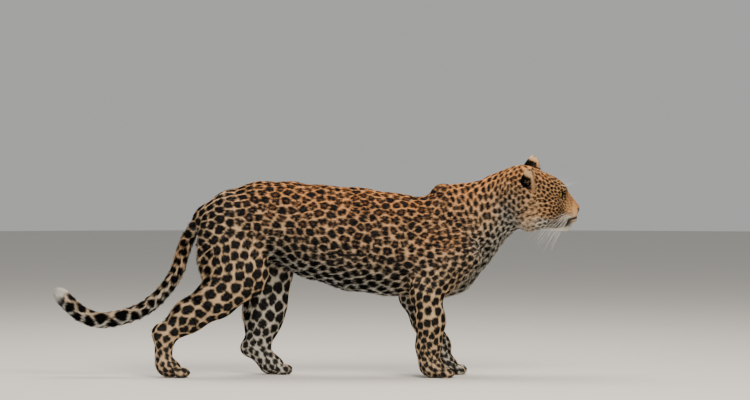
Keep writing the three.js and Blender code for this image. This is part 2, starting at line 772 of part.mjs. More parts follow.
function headPieces() {
  const low = [-150, -110, -130];
  const high = [150, 110, 130];
  const grownHead = surfaceOf(headField, low, high, CELL.head, GAP);
  let head = surfaceOf(headField, low, high, CELL.head);
  let jaw = surfaceOf(headField, [-20, -90, -110], [150, 90, 0], CELL.jaw);
  let nose = surfaceOf(noseField, [98, -30, -30], [142, 30, 20], CELL.nose);
  head = head.add(lip(headField, 2.6, LIP_RADIUS));
  jaw = jaw.add(lip(headField, -2.6, LIP_RADIUS));
  const halves = (side) => {
    const at = mirrored(side, EYE_AT);
    head = head.add(ballSolid(at, EYE_RADIUS + LID_THICKNESS, 16, 10));
    const opening = eyeOpening(side);
    head = head.subtract(opening).subtract(ballSolid(at, EYE_RADIUS + GAP));
    return ballSolid(at, EYE_RADIUS);
  };
  const eyes = [halves(1), halves(-1)];
  head = head.subtract(prism(grown(JAW_BLOCK, HALF_GAP), -120, 120));
  jaw = jaw.intersect(prism(grown(JAW_BLOCK, -HALF_GAP), -119, 119));
  head = head.subtract(prism(grown(NOSE_BLOCK, HALF_GAP), -NOSE_HALF_WIDTH - GAP, NOSE_HALF_WIDTH + GAP));
  nose = nose.intersect(prism(grown(NOSE_BLOCK, -HALF_GAP), -NOSE_HALF_WIDTH, NOSE_HALF_WIDTH));
  const put = (solid) => solid.transform(headMatrix.elements);
  pieces.head = largest(inFrontOf(put(head), NECK_PLANE.point, NECK_PLANE.normal));
  pieces.lower_jaw = largest(put(jaw));
  pieces.nose = largest(put(nose));
  pieces.eye_left = put(eyes[0]);
  pieces.eye_right = put(eyes[1]);
  const nape = inFrontOf(
    surfaceOf(neckAndHead, ...NECK_BOX, CELL.neck, 3 * GAP),
    NECK_PLANE.point.map((c, i) => c + NECK_PLANE.normal[i] * 2),
    back(NECK_PLANE.normal),
  );
  pieces.ear_left = largest(put(ear(EARS.left).subtract(grownHead)).subtract(nape));
  pieces.ear_right = largest(put(ear(EARS.right).subtract(grownHead)).subtract(nape));
}
headPieces();

[
  ["tail_base", 0, 0.34, 12],
  ["tail_middle", 0.34, 0.68, 11],
  ["tail_tip", 0.68, 1, 10],
].forEach(([name, t0, t1, rings]) => {
  let solid = tube(tailCurve, tailRadius, t0 ? t0 + tailGap : 0, t1, rings, TAIL_SIDES, t1 === 1);
  if (!t0) solid = inFrontOf(solid, TAIL_PLANE.point, TAIL_PLANE.normal);
  pieces[name] = solid;
});

// The scene graph

// Colours: tan back and flanks, paler legs, near-black nose leather, amber eyes.
const LOOKS = [
  [/^(torso|neck)$/, { color: "#c08b5c", roughness: 0.9 }],
  [/^head$/, { color: "#bd8c60", roughness: 0.9 }],
  [/^lower_jaw$/, { color: "#d8cdbd", roughness: 0.9 }],
  [/^(fore|hind)leg/, { color: "#cda37a", roughness: 0.9 }],
  [/^tail_(base|middle)$/, { color: "#c79a6c", roughness: 0.9 }],
  [/^tail_tip$/, { color: "#b8aea0", roughness: 0.9 }],
  [/^ear_/, { color: "#6b5543", roughness: 0.9 }],
  [/^nose$/, { color: "#241b18", roughness: 0.45 }],
  [/^eye_/, { color: "#8d8245", roughness: 0.1 }],
];

const root = new THREE.Group();
for (const [name, solid] of Object.entries(pieces)) {
  const made = solid.getMesh();
  const geometry = new THREE.BufferGeometry()
    .setAttribute("position", new THREE.BufferAttribute(made.vertProperties, 3))
    .setIndex(new THREE.BufferAttribute(made.triVerts, 1));
  geometry.computeVertexNormals();
  const [, look] = LOOKS.find(([pattern]) => pattern.test(name));
  const mesh = new THREE.Mesh(geometry, new THREE.MeshStandardMaterial({ metalness: 0, ...look }));
  mesh.name = name;
  root.add(mesh);
}

// The origin is the middle of the whole leopard's footprint, on the floor.
const box = new THREE.Box3().setFromObject(root);
root.position.set(-(box.min.x + box.max.x) / 2, -(box.min.y + box.max.y) / 2, -box.min.z);

export default root;
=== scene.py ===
"""A life-size African leopard in mid-step, dressed over its solid frame.

One skin covers every flesh node. It is the zero surface of a smooth field of rounded limbs
and ellipsoids, the same named sizes as the solids, drawn in by the depth of the coat.
Over it lie short solid tufts that follow the lie of the fur. Skin and tufts take their
colours from one function of markings. Sizes are millimetres until a mesh is made.
"""

import math

import bpy
import numpy as np
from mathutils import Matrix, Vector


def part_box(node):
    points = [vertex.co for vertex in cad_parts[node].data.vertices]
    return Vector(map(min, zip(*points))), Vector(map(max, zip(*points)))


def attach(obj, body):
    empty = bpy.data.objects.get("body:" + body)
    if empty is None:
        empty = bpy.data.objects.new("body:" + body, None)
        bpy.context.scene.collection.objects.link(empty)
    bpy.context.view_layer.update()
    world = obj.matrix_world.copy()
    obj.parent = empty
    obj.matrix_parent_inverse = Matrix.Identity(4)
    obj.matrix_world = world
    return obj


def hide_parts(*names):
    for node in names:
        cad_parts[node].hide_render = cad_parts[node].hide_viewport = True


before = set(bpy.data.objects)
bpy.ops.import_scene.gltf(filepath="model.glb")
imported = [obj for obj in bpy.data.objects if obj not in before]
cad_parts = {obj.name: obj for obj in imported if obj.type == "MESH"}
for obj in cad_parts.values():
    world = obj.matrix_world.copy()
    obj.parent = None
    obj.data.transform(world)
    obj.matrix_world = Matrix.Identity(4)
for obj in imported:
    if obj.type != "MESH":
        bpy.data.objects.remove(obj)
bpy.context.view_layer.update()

RNG = np.random.default_rng(7)

# The head's place and turn, as in the solids
HEAD_AT = np.array([747.0, 0.0, 574.0])
HEAD_YAW, HEAD_PITCH, HEAD_ROLL = 18, 10, 8
EYE_RADIUS = 16.5
EYE_AT = (30, 29, 40)
EYE_TURN = 28
LID_THICKNESS = 3.2
SOLE = 3.0  # the floor's height in the frame of making


# Rotations and small vector helpers


def turn_about(axis, degrees):
    """The 3 by 3 rotation about x, y or z: cosines on the plane's diagonal, sines off it."""
    c, s = math.cos(math.radians(degrees)), math.sin(math.radians(degrees))
    i, j = [(1, 2), (2, 0), (0, 1)]["xyz".index(axis)]
    m = np.eye(3)
    m[i, i] = m[j, j] = c
    m[i, j], m[j, i] = -s, s
    return m


HEAD_TURN = turn_about("z", HEAD_YAW) @ turn_about("y", HEAD_PITCH) @ turn_about("x", HEAD_ROLL)


def unit(v):
    """Each row divided by its length."""
    return v / np.maximum(np.linalg.norm(v, axis=-1, keepdims=True), 1e-9)


def step(low, high, x):
    """0 below low, 1 above high, and the curve 3t^2 - 2t^3 between."""
    t = np.clip((x - low) / (high - low), 0, 1)
    return t * t * (3 - 2 * t)


def from_head(p):
    """Points of the head's own frame in the frame of making: turned, then moved."""
    return np.asarray(p, float) @ HEAD_TURN.T + HEAD_AT


def to_head(p):
    """Points of the frame of making in the head's own frame."""
    return (p - HEAD_AT) @ HEAD_TURN


# from the frame of making to the solids' own, by the place of one eye in both
eye_low, eye_high = (np.array(c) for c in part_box("eye_right"))
SHIFT = (eye_low + eye_high) * 500 - from_head([EYE_AT[0], -EYE_AT[1], EYE_AT[2]])


# The field: shapes that flow into each other


def limb(a, ra, b, rb, wa=1.0, wb=None, blend=25):
    """A ball that slides from a to b while its radius goes from ra to rb.

    The distance is that of the point to the nearest place on the line, less the radius there,
    with the sideways part stretched by one over the squash w.
    """
    a, b = np.array(a, float), np.array(b, float)
    wb = wa if wb is None else wb
    along = b - a

    def distance(p):
        q = p - a
        t = np.clip(q @ along / (along @ along), 0, 1)
        w = wa + (wb - wa) * t
        x = q[:, 0] - along[0] * t
        y = (q[:, 1] - along[1] * t) / w
        z = q[:, 2] - along[2] * t
        off = np.sqrt(x * x + y * y + z * z)
        return (off - (ra + (rb - ra) * t)) * np.minimum(1, w)

    return distance, blend, False


def ball(centre, radii, blend=25, tilt=0):
    """An ellipsoid, nose up by tilt degrees: k0 (k0 - 1) / k1 with scaled lengths k0 and k1."""
    centre, radii = np.array(centre, float), np.array(radii, float)
    c, s = math.cos(math.radians(tilt)), math.sin(math.radians(tilt))

    def distance(p):
        d = p - centre
        q = np.stack([d[:, 0] * c + d[:, 2] * s, d[:, 1], d[:, 2] * c - d[:, 0] * s], 1)
        k0 = np.linalg.norm(q / radii, axis=1)
        k1 = np.linalg.norm(q / radii**2, axis=1)
        return np.where(k1 < 1e-9, -radii.min(), k0 * (k0 - 1) / np.maximum(k1, 1e-9))

    return distance, blend, False


def hollow(shape):
    """The same shape, taken away instead of added."""
    return shape[0], shape[1], True


def chain(stations, blend=25):
    """Limbs through stations of point, radius and sideways squash."""
    return [
        limb(a, ra, b, rb, wa, wb, blend)
        for (a, ra, wa), (b, rb, wb) in zip(stations, stations[1:])
    ]


def field(shapes, p):
    """The smooth union in order: the smaller distance, less k/4 (1 - |difference|/k)^2."""
    d = np.full(len(p), 1e3)
    for distance, k, carve in shapes:
        e = -distance(p) if carve else distance(p)
        near = np.maximum(k - np.abs(d - e), 0) / k
        swell = near * near * k / 4
        d = np.maximum(d, e) + swell if carve else np.minimum(d, e) - swell
    return d


def both_sides(make):
    """One shape for the left, where side is 1, and its mirror for the right, where it is -1."""
    return [make(1), make(-1)]


# Stations of the trunk: place, radius, and how narrow it is for its height
TRUNK = [
    ((-262, 0, 511), 118, 0.76), ((-180, 0, 516), 134, 0.76), ((-87, 0, 510), 139, 0.77),
    ((12, 0, 479), 160, 0.78), ((127, 0, 457), 173, 0.74), ((243, 0, 440), 172, 0.69),
    ((381, 0, 427), 170, 0.6), ((462, 0, 484), 154, 0.6), ((495, 0, 510), 138, 0.62),
    ((551, 0, 538), 113, 0.66), ((617, 0, 576), 104, 0.7), ((676, 0, 598), 94, 0.76),
]
trunk = chain(TRUNK, 10) + [
    ball((446, 0, 386), (90, 72, 104)),
    ball((-360, 0, 520), (52, 46, 50), 30),
    limb((-350, 0, 540), 34, (-400, 0, 496), 27, 1, 1, 12),
]


def shoulder(side, elbow):
    """Blade, upper arm and the muscle behind it, down to the elbow."""
    return [
        limb((412, side * 34, 608), 32, (472, side * 78, 415), 60, 0.62, 0.7, 30),
        limb((478, side * 80, 392), 58, elbow, 50, 0.68, 0.8, 30),
        ball((395, side * 84, 375), (92, 40, 92), 35),
    ]


def paw(at, length, half_width):
    """A wide pad with four toes fanned over its front."""
    x, y = at
    toes = [
        ball(
            (x + length * (0.52 - 0.045 * t * t), y + t * half_width * 0.5, 18.5),
            (25, half_width * 0.3, 20),
            9,
        )
        for t in (-1.45, -0.5, 0.5, 1.45)
    ]
    return [ball((x, y, 33), (length * 0.46, half_width * 0.95, 33), 22)] + toes


FORE_NEAR = [
    ((366, -88, 262), 54, 0.82), ((375, -83, 188), 49, 0.82),
    ((369, -79, 108), 41, 0.86), ((368, -78, 62), 37, 0.95),
]
FORE_FAR = [
    ((326, 87, 252), 50, 0.84), ((362, 83, 180), 46, 0.84),
    ((404, 78, 98), 39, 0.88), ((412, 77, 60), 36, 0.95),
]
forelegs = (
    shoulder(-1, (352, -90, 284))
    + chain(FORE_NEAR)
    + paw((384, -78), 96, 45)
    + shoulder(1, (318, 88, 272))
    + chain(FORE_FAR)
    + paw((428, 77), 96, 45)
)

HIND_NEAR = {
    "thigh": [((-276, -56, 476), 110, 0.6), ((-246, -70, 350), 84, 0.62)],
    "ham": ((-316, -60, 405), (76, 46, 108)),
    "shank": [
        ((-232, -76, 338), 76, 0.62), ((-325, -80, 264), 63, 0.62),
        ((-415, -77, 206), 51, 0.66), ((-488, -74, 150), 41, 0.74),
    ],
    "heel": ((-512, -74, 152), 27),
    "foot": [((-500, -74, 136), 35, 0.84), ((-502, -73, 56), 31, 0.95)],
    "paw": (-482, -73),
}
HIND_FAR = {
    "thigh": [((-250, 56, 482), 106, 0.6), ((-166, 70, 350), 86, 0.62)],
    "ham": ((-262, 60, 412), (84, 46, 104)),
    "shank": [
        ((-164, 76, 325), 80, 0.62), ((-170, 80, 240), 69, 0.6),
        ((-180, 78, 180), 56, 0.64), ((-193, 75, 120), 47, 0.7),
    ],
    "heel": ((-232, 74, 90), 24),
    "foot": [((-204, 74, 92), 42, 0.72), ((-164, 73, 48), 34, 0.9)],
    "paw": (-148, 73),
}


def hind_leg(leg):
    """Thigh, ham, shank, heel, foot bone and paw of one hind leg."""
    (heel, r) = leg["heel"]
    return (
        chain(leg["thigh"], 40)
        + [ball(*leg["ham"], 40)]
        + chain(leg["shank"], 30)
        + [ball(heel, (r, r * 0.9, r), 20)]
        + chain(leg["foot"], 20)
        + paw(leg["paw"], 90, 39)
    )


def head_shapes():
    """The head in its own frame, in the same order and sizes as the solids."""
    return (
        [ball((-46, 0, 40), (74, 64, 68)), ball((6, 0, 38), (60, 49, 57))]
        + both_sides(lambda s: ball((38, s * 24, 55), (24, 20, 20), 18))
        + [
            limb((44, 0, 44), 30, (112, 0, 4), 16, 0.86, 1, 18),
            ball((116, 0, -4), (14, 18, 13), 8),
            limb((36, 0, -12), 46, (88, 0, -18), 30, 0.96, 1.2, 20),
        ]
        + both_sides(lambda s: ball((89, s * 20, -28), (32, 24, 25), 10))
        + [limb((-20, 0, -48), 42, (91, 0, -58), 22, 1.15, 1.2, 16)]
        + both_sides(lambda s: ball((-10, s * 46, -28), (55, 34, 50), 25))
        + both_sides(lambda s: limb((32, s * 46, 8), 18, (-40, s * 60, 12), 24, 0.8, 0.8, 20))
        + both_sides(lambda s: ball((-50, s * 42, -42), (46, 36, 54), 30))
        + both_sides(lambda s: hollow(ball((52, s * 47, 42), (17, 15, 13), 12)))
        + [ball((-95, 0, 20), (70, 72, 88), 40)]
    )


# The mouth's line in side view, front to corner, in the head's frame: x and z
MOUTH = np.array([(150, -20), (112, -23), (92, -32), (70, -42), (44, -49), (16, -52)], float)


def gaze(side):
    """The eye's own axes as rows: ahead along its sight, outwards, and up."""
    turn = turn_about("z", side * EYE_TURN) @ turn_about("y", -6) @ turn_about("x", side * 10)
    return turn.T * np.array([[1], [side], [1]])


def eye_centre(side):
    """The eyeball's centre in the head's frame."""
    return np.array([EYE_AT[0], side * EYE_AT[1], EYE_AT[2]], float)


def almond(side, half_width=13.5, half_height=8.0):
    """The opening between the lids: where two discs overlap, from 3 to 25 mm along the eye's sight."""
    axes = gaze(side)
    centre = eye_centre(side)
    off = (half_width**2 - half_height**2) / (2 * half_height)
    disc = off + half_height

    def distance(p):
        ahead, out, up = ((p - centre) @ axes.T).T
        lens = np.maximum(np.hypot(out, up + off), np.hypot(out, up - off)) - disc
        return np.maximum(lens, np.maximum(3 - ahead, ahead - 25))

    return distance, 1.6, True


def mouth_height(x):
    """The height of the mouth's line at x, in the head's frame."""
    return np.interp(x, MOUTH[::-1, 0], MOUTH[::-1, 1])


def mouth_groove(p):
    """A shallow slot: within 1 mm of the mouth's line in side view, and in front of its corner.

    It only bites where the point is within 6 mm of the uncut flesh, so it stays shallow.
    """
    gap = np.abs(p[:, 2] - mouth_height(p[:, 0])) - 1.0
    inside = -field(FLESH_HEAD, p) - 6.0
    corner = 14 - p[:, 0]
    return np.maximum(np.maximum(gap, inside), corner)


FLESH_HEAD = head_shapes()
LID_BALL = (EYE_RADIUS + LID_THICKNESS,) * 3
face = FLESH_HEAD + both_sides(lambda s: ball(eye_centre(s), LID_BALL, 5))
face += both_sides(almond)
# nostrils, the slits beside them, and the groove from the nose to the lip
face += both_sides(lambda s: hollow(ball((126, s * 8, -7), (11, 4.2, 4.2), 3)))
face += both_sides(lambda s: hollow(limb((120, s * 12, -9), 2.4, (108, s * 19, -6), 1.6, 1, 1, 3)))
face += [hollow(limb((131, 0, -10), 1.6, (126, 0, -24), 1.6, 1, 1, 3))]
face += [(mouth_groove, 2.0, True)]


def in_head_frame(shapes):
    """The same shapes, measured from points of the frame of making."""
    return [((lambda p, f=f: f(to_head(p))), k, carve) for f, k, carve in shapes]


# The tail from root to tip: place and radius with its fur
TAIL = [
    ((-397, 0, 500), 27), ((-421, -4, 462), 26), ((-441, -10, 410), 25.5), ((-462, -18, 345), 26),
    ((-500, -28, 287), 26), ((-560, -36, 232), 26.5), ((-640, -38, 199), 26.5),
    ((-712, -34, 190), 27), ((-772, -28, 208), 28), ((-818, -24, 246), 27.5), ((-842, -22, 270), 26),
]


def smooth_path(points, per_span=3):
    """A Catmull-Rom curve: each span is the cubic through its ends with the neighbours' slope."""
    p = np.array(points, float)
    p = np.vstack([2 * p[0] - p[1], p, 2 * p[-1] - p[-2]])
    out = []
    t = np.linspace(0, 1, per_span, endpoint=False)[:, None]
    for i in range(1, len(p) - 2):
        a, b, c, d = p[i - 1 : i + 3]
        bend = (2 * a - 5 * b + 4 * c - d) * t**2 + (3 * b - a - 3 * c + d) * t**3
        out.append(0.5 * (2 * b + (c - a) * t + bend))
    return np.vstack(out + [p[-2][None]])


tail_line = smooth_path([p for p, _ in TAIL])
tail_radii = smooth_path([(r, 0, 0) for _, r in TAIL])[:, 0]
TAIL_HAIR = 3.0  # the tail's coat is deeper than the body's by this
tail = [
    limb(a, ra - TAIL_HAIR, b, rb - TAIL_HAIR, 1, 1, 6)
    for a, ra, b, rb in zip(tail_line, tail_radii, tail_line[1:], tail_radii[1:])
]

body_shapes = (
    trunk + forelegs + hind_leg(HIND_NEAR) + hind_leg(HIND_FAR) + tail + in_head_frame(FLESH_HEAD)
)
# the head's skin also reads the limbs of the neck that flow into it
head_only = [(lambda p, f=f: f(from_head(p)), k, c) for f, k, c in trunk[6:11]] + face


def coat_depth(p):
    """How deep the coat is: 6 mm on the body, 3.4 at the feet and 0.9 over the face."""
    q = to_head(p)
    face_near = 1 - step(60, 150, np.linalg.norm(q - np.array([72, 0, 5]), axis=1))
    low = 1 - step(60, 330, p[:, 2])
    return (6.0 - 2.6 * low) * (1 - face_near) + 0.9 * face_near


# Meshing the field


def surface(value, low, high, cell):
    """The zero surface on a lattice of cubes: one point in each cube that it crosses.

    A cube's point is the mean of the places where the value crosses zero on its edges. Each
    crossed lattice edge gives a square between the four cubes around it.
    """
    low = np.array(low, float)
    n = (np.ceil((np.array(high) - low) / cell) + 1).astype(int)
    axes = [low[i] + cell * np.arange(n[i]) for i in range(3)]
    grid = np.stack(np.meshgrid(*axes, indexing="ij"), -1).reshape(-1, 3)
    v = np.concatenate([value(part) for part in np.array_split(grid, max(1, len(grid) // 250000))])
    v = v.reshape(n)
    for axis in range(3):
        ends = [slice(None)] * 3
        for end in (0, -1):
            ends[axis] = end
            v[tuple(ends)] = np.maximum(v[tuple(ends)], cell / 4)
    total = np.zeros((*(n - 1), 3))
    count = np.zeros(n - 1)
    inside = v < 0
    quads = []
    cell_id = np.arange(np.prod(n - 1)).reshape(n - 1)
    for axis in range(3):
        u, w = (axis + 1) % 3, (axis + 2) % 3
        first = [slice(None)] * 3
        second = [slice(None)] * 3
        first[axis], second[axis] = slice(0, -1), slice(1, None)
        va, vb = v[tuple(first)], v[tuple(second)]
        crossed = inside[tuple(first)] != inside[tuple(second)]
        ids = np.argwhere(crossed)
        t = va[crossed] / (va[crossed] - vb[crossed])
        point = low + ids * cell
        point[:, axis] += t * cell
        for du in (0, 1):
            for dw in (0, 1):
                at = ids.copy()
                at[:, u] -= du
                at[:, w] -= dw
                ok = (at >= 0).all(1) & (at < n - 1).all(1)
                place = tuple(at[ok].T)
                np.add.at(total, place, point[ok])
                np.add.at(count, place, 1)
        inner = (ids[:, u] > 0) & (ids[:, w] > 0) & (ids[:, u] < n[u] - 1) & (ids[:, w] < n[w] - 1)
        ids = ids[inner]
        corners = []
        for du, dw in ((0, 0), (1, 0), (1, 1), (0, 1)):
            at = ids.copy()
            at[:, u] -= du
            at[:, w] -= dw
            corners.append(cell_id[tuple(at.T)])
        quad = np.stack(corners, 1)
        out = inside[tuple(ids.T)]
        quad[~out] = quad[~out][:, ::-1]
        quads.append(quad)
    used = np.flatnonzero(count.reshape(-1))
    number = np.full(count.size, -1)
    number[used] = np.arange(len(used))
    points = total.reshape(-1, 3)[used] / count.reshape(-1)[used, None]
    quads = number[np.vstack(quads)]
    return points, np.vstack([quads[:, [0, 1, 2]], quads[:, [0, 2, 3]]])


def drawn_on(value, points, passes=3, reach=3.0):
    """Newton's steps onto the zero surface: the value over the slope, along the slope."""
    start = points.copy()
    h = 0.15
    for _ in range(passes):
        d = value(points)
        slope = np.stack([(value(points + h * e) - d) / h for e in np.eye(3)], 1)
        size = np.maximum((slope**2).sum(1), 0.05)
        points = points - (d / size)[:, None] * slope
        points = start + np.clip(points - start, -reach, reach)
    return points


def vertex_normals(points, faces):
    """The sum of the face normals around each point, scaled to length one."""
    a, b, c = (points[faces[:, i]] for i in range(3))
    n = np.cross(b - a, c - a)
    out = np.zeros_like(points)
    for i in range(3):
        for axis in range(3):
            out[:, axis] += np.bincount(faces[:, i], n[:, axis], len(points))
    return unit(out)


HEAD_BACK = -66  # the head's finer skin starts here, in its own frame
BODY_CELL, HEAD_CELL = 6.6, 2.3


def body_value(p):
    """The field of the whole body, drawn in by the coat's depth."""
    return field(body_shapes, p) + coat_depth(p)


def head_value(q):
    """The same for the head alone, in its own frame, with eyelids, nostrils and mouth cut."""
    return field(head_only, q) + coat_depth(from_head(q))


def kept(points, faces, keep):
    """Only the faces whose three corners are kept, with the points numbered again."""
    faces = faces[keep[faces].all(1)]
    used = np.unique(faces)
    number = np.full(len(points), -1)
    number[used] = np.arange(len(used))
    return points[used], number[faces]


body_points, body_faces = surface(body_value, (-885, -150, -8), (760, 150, 712), BODY_CELL)
body_points = drawn_on(body_value, body_points)
body_points, body_faces = kept(body_points, body_faces, to_head(body_points)[:, 0] < HEAD_BACK - 2)
head_points, head_faces = surface(head_value, (-92, -100, -128), (140, 100, 122), HEAD_CELL)
head_points = drawn_on(head_value, head_points, 3, 1.2)
head_points, head_faces = kept(head_points, head_faces, head_points[:, 0] > HEAD_BACK)


def open_rim(faces):
    """The points of the longest open edge, in walking order: each edge with no twin leads on."""
    ends = np.vstack([faces[:, [0, 1]], faces[:, [1, 2]], faces[:, [2, 0]]]).astype(np.int64)
    size = faces.max() + 1
    lone = ends[~np.isin(ends[:, 0] * size + ends[:, 1], ends[:, 1] * size + ends[:, 0])]
    onward = dict(lone.tolist())
    walks = []
    while onward:
        at = next(iter(onward))
        walk = []
        while at in onward:
            walk.append(at)
            at = onward.pop(at)
        walks.append(walk)
    return np.array(max(walks, key=len))


def zipped(points, rim_a, rim_b):
    """Triangles between two rims that circle the head's own x axis.

    Each rim's points are ordered by angle. Going round, every step forward on either rim
    makes one triangle with the point reached on the other.
    """
    q = to_head(points)
    middle = np.array([0, 0, 5.0])  # the axis that both rims circle

    def angles(rim):
        return np.unwrap(np.arctan2(q[rim, 2] - middle[2], q[rim, 1]))

    def ordered(rim):
        angle = angles(rim)
        if angle[-1] < angle[0]:
            rim, angle = rim[::-1], angle[::-1]
        rim = np.roll(rim, -np.argmin(np.mod(angle, 2 * math.pi)))
        angle = angles(rim)
        angle = np.maximum.accumulate(angle - 2 * math.pi * np.floor(angle[0] / 2 / math.pi))
        return rim, angle

    rim_a, angle_a = ordered(rim_a)
    rim_b, angle_b = ordered(rim_b)
    last = 20  # past every angle, so that the last steps close the ring
    keys = np.concatenate([np.append(angle_a[1:], last), np.append(angle_b[1:], last)])
    on_a = np.arange(len(keys)) < len(rim_a)
    on_a = on_a[np.argsort(keys, kind="stable")]
    i = np.cumsum(on_a)
    j = np.cumsum(~on_a)
    a_now, a_before = rim_a[i % len(rim_a)], rim_a[(i - on_a) % len(rim_a)]
    b_now, b_before = rim_b[j % len(rim_b)], rim_b[(j - ~on_a) % len(rim_b)]
    faces = np.where(
        on_a[:, None],
        np.stack([a_before, a_now, b_now], 1),
        np.stack([a_now, b_now, b_before], 1),
    )
    a, b, c = (q[faces[:, k]] for k in range(3))
    out = (np.cross(b - a, c - a) * (a - middle))[:, 1:].sum()
    return faces if out > 0 else faces[:, ::-1]


skin_points = np.vstack([body_points, from_head(head_points)])
head_faces = head_faces + len(body_points)
ring = zipped(skin_points, open_rim(body_faces), open_rim(head_faces))
skin_faces = np.vstack([body_faces, head_faces, ring])
# the soles lie flat on the floor
skin_points[:, 2] = np.maximum(skin_points[:, 2], SOLE)
skin_normals = vertex_normals(skin_points, skin_faces)


# Which part of the body a point is on, and how the coat lies there

HEAD_FORWARD = HEAD_TURN[:, 0]
PARTS = ["torso", "neck", "head", "foreleg_near", "foreleg_far", "hindleg_near", "hindleg_far", "tail"]
TORSO, NECK, HEAD, FORE, HIND, ON_TAIL = 0, 1, 2, slice(3, 5), slice(5, 7), 7


def on_legs(weight):
    """The share of each point's weight that lies on the four legs."""
    return weight[:, 3:7].sum(1)


bones = []


def add_bone(part, a, b, radius, lie, share=(0, 1)):
    """A line through a part: its ends, its flesh radius, the coat's lie, its share of the length."""
    a, b, lie = (np.array(v, float) for v in (a, b, lie))
    bones.append((PARTS.index(part), a, b, radius, unit(lie), share))


def add_leg(part, line):
    """Bones down a leg. The coat lies down each bone, a little backwards, and forwards on the paw."""
    n = len(line) - 1
    for i in range(n):
        (a, r), (b, _) = line[i], line[i + 1]
        along = unit(np.subtract(b, a).astype(float))
        back = np.array([-0.3, 0, 0]) if i < n - 1 else np.array([0.2, 0, 0])
        add_bone(part, a, b, r, along + back, (i / n, (i + 1) / n))


add_bone("torso", (-330, 0, 520), (40, 0, 480), 130, (-1, 0, -0.12), (0, 0.45))
add_bone("torso", (40, 0, 480), (420, 0, 450), 150, (-1, 0, -0.16), (0.45, 1))
add_bone("neck", (500, 0, 520), (668, 0, 600), 98, (-0.93, 0, -0.45))
add_bone("head", from_head((-70, 0, 5)), from_head((10, 0, 5)), 66, -HEAD_FORWARD, (0, 0.5))
add_bone("head", from_head((10, 0, 5)), from_head((110, 0, -18)), 34, -HEAD_FORWARD, (0.5, 1))
LEG_LINES = {
    "foreleg_near": [
        ((462, -82, 400), 52), ((360, -90, 282), 48), ((373, -83, 185), 38),
        ((368, -78, 50), 34), ((430, -78, 20), 20),
    ],
    "foreleg_far": [
        ((452, 82, 400), 52), ((322, 88, 268), 46), ((362, 83, 180), 36),
        ((410, 77, 50), 32), ((474, 77, 20), 20),
    ],
    "hindleg_near": [
        ((-262, -66, 420), 72), ((-236, -76, 335), 56), ((-488, -74, 152), 34),
        ((-502, -73, 48), 28), ((-440, -73, 20), 20),
    ],
    "hindleg_far": [
        ((-240, 66, 420), 72), ((-166, 76, 322), 58), ((-198, 75, 112), 34),
        ((-170, 73, 48), 28), ((-106, 73, 20), 20),
    ],
}
for part, line in LEG_LINES.items():
    add_leg(part, line)
tail_steps = tail_line[::3]
for i, (a, b) in enumerate(zip(tail_steps, tail_steps[1:])):
    n = len(tail_steps) - 1
    add_bone("tail", a, b, 24, b - a, (i / n, (i + 1) / n))


def body_map(p):
    """Soft weights of the parts, the coat's lie, and the nearest bone's share and angle.

    A bone's weight is exp(-(distance - radius) / 14). The lie is the weighted mean of the
    bones' own. The angle is that of the point round its nearest bone.
    """
    weight = np.zeros((len(p), len(PARTS)))
    lie = np.zeros((len(p), 3))
    best = np.full(len(p), 1e9)
    part = np.zeros(len(p), int)
    share = np.zeros(len(p))
    angle = np.zeros(len(p))
    for number, a, b, radius, bone_lie, (s0, s1) in bones:
        along = b - a
        q = p - a
        t = np.clip(q @ along / (along @ along), 0, 1)
        off = q - t[:, None] * along
        d = np.linalg.norm(off, axis=1) - radius
        w = np.exp(-np.clip(d, -60, 200) / 14)
        weight[:, number] += w
        lie += w[:, None] * bone_lie
        nearer = d < best
        best[nearer] = d[nearer]
        part[nearer] = number
        share[nearer] = (s0 + (s1 - s0) * t)[nearer]
        side = unit(np.cross(along, (0, 1, 0)))
        across = unit(np.cross(side, along))
        turn = np.arctan2(off @ side, off @ across) / (2 * math.pi) + 0.5
        angle[nearer] = turn[nearer]
    weight /= weight.sum(1, keepdims=True)
    return weight, unit(lie), part, share, angle


# Colours

TAN_BACK = "#d9965a"
TAN_FLANK = "#d6ab7e"
HAUNCH_CREAM = "#e0c29c"
BUFF_LOW = "#bfb49e"
BELLY_WHITE = "#c9c6ba"
LEG_BUFF = "#d2b48e"
FACE_TAN = "#c29566"
NOSE_BRIDGE = "#a06a3c"
CHIN_WHITE = "#ddd8ca"
SPOT_BLACK = "#050201"
NOSE_BLACK = "#16100e"
EAR_PALE = "#bf9d76"


def linear(hex_colour):
    """An sRGB hex colour as three linear numbers, by the standard curve."""
    c = np.array([int(hex_colour[i : i + 2], 16) / 255 for i in (1, 3, 5)])
    return np.where(c <= 0.04045, c / 12.92, ((c + 0.055) / 1.055) ** 2.4)


def blended(base, hex_colour, amount):
    """The base colours moved towards one colour by each point's amount."""
    amount = np.clip(amount, 0, 1)[:, None]
    return base * (1 - amount) + linear(hex_colour) * amount


def mound(x, z, at, half):
    """A soft round patch in side view: exp(-(dx^2 + dz^2)), in half widths from its middle."""
    return np.exp(-(((x - at[0]) / half[0]) ** 2 + ((z - at[1]) / half[1]) ** 2))


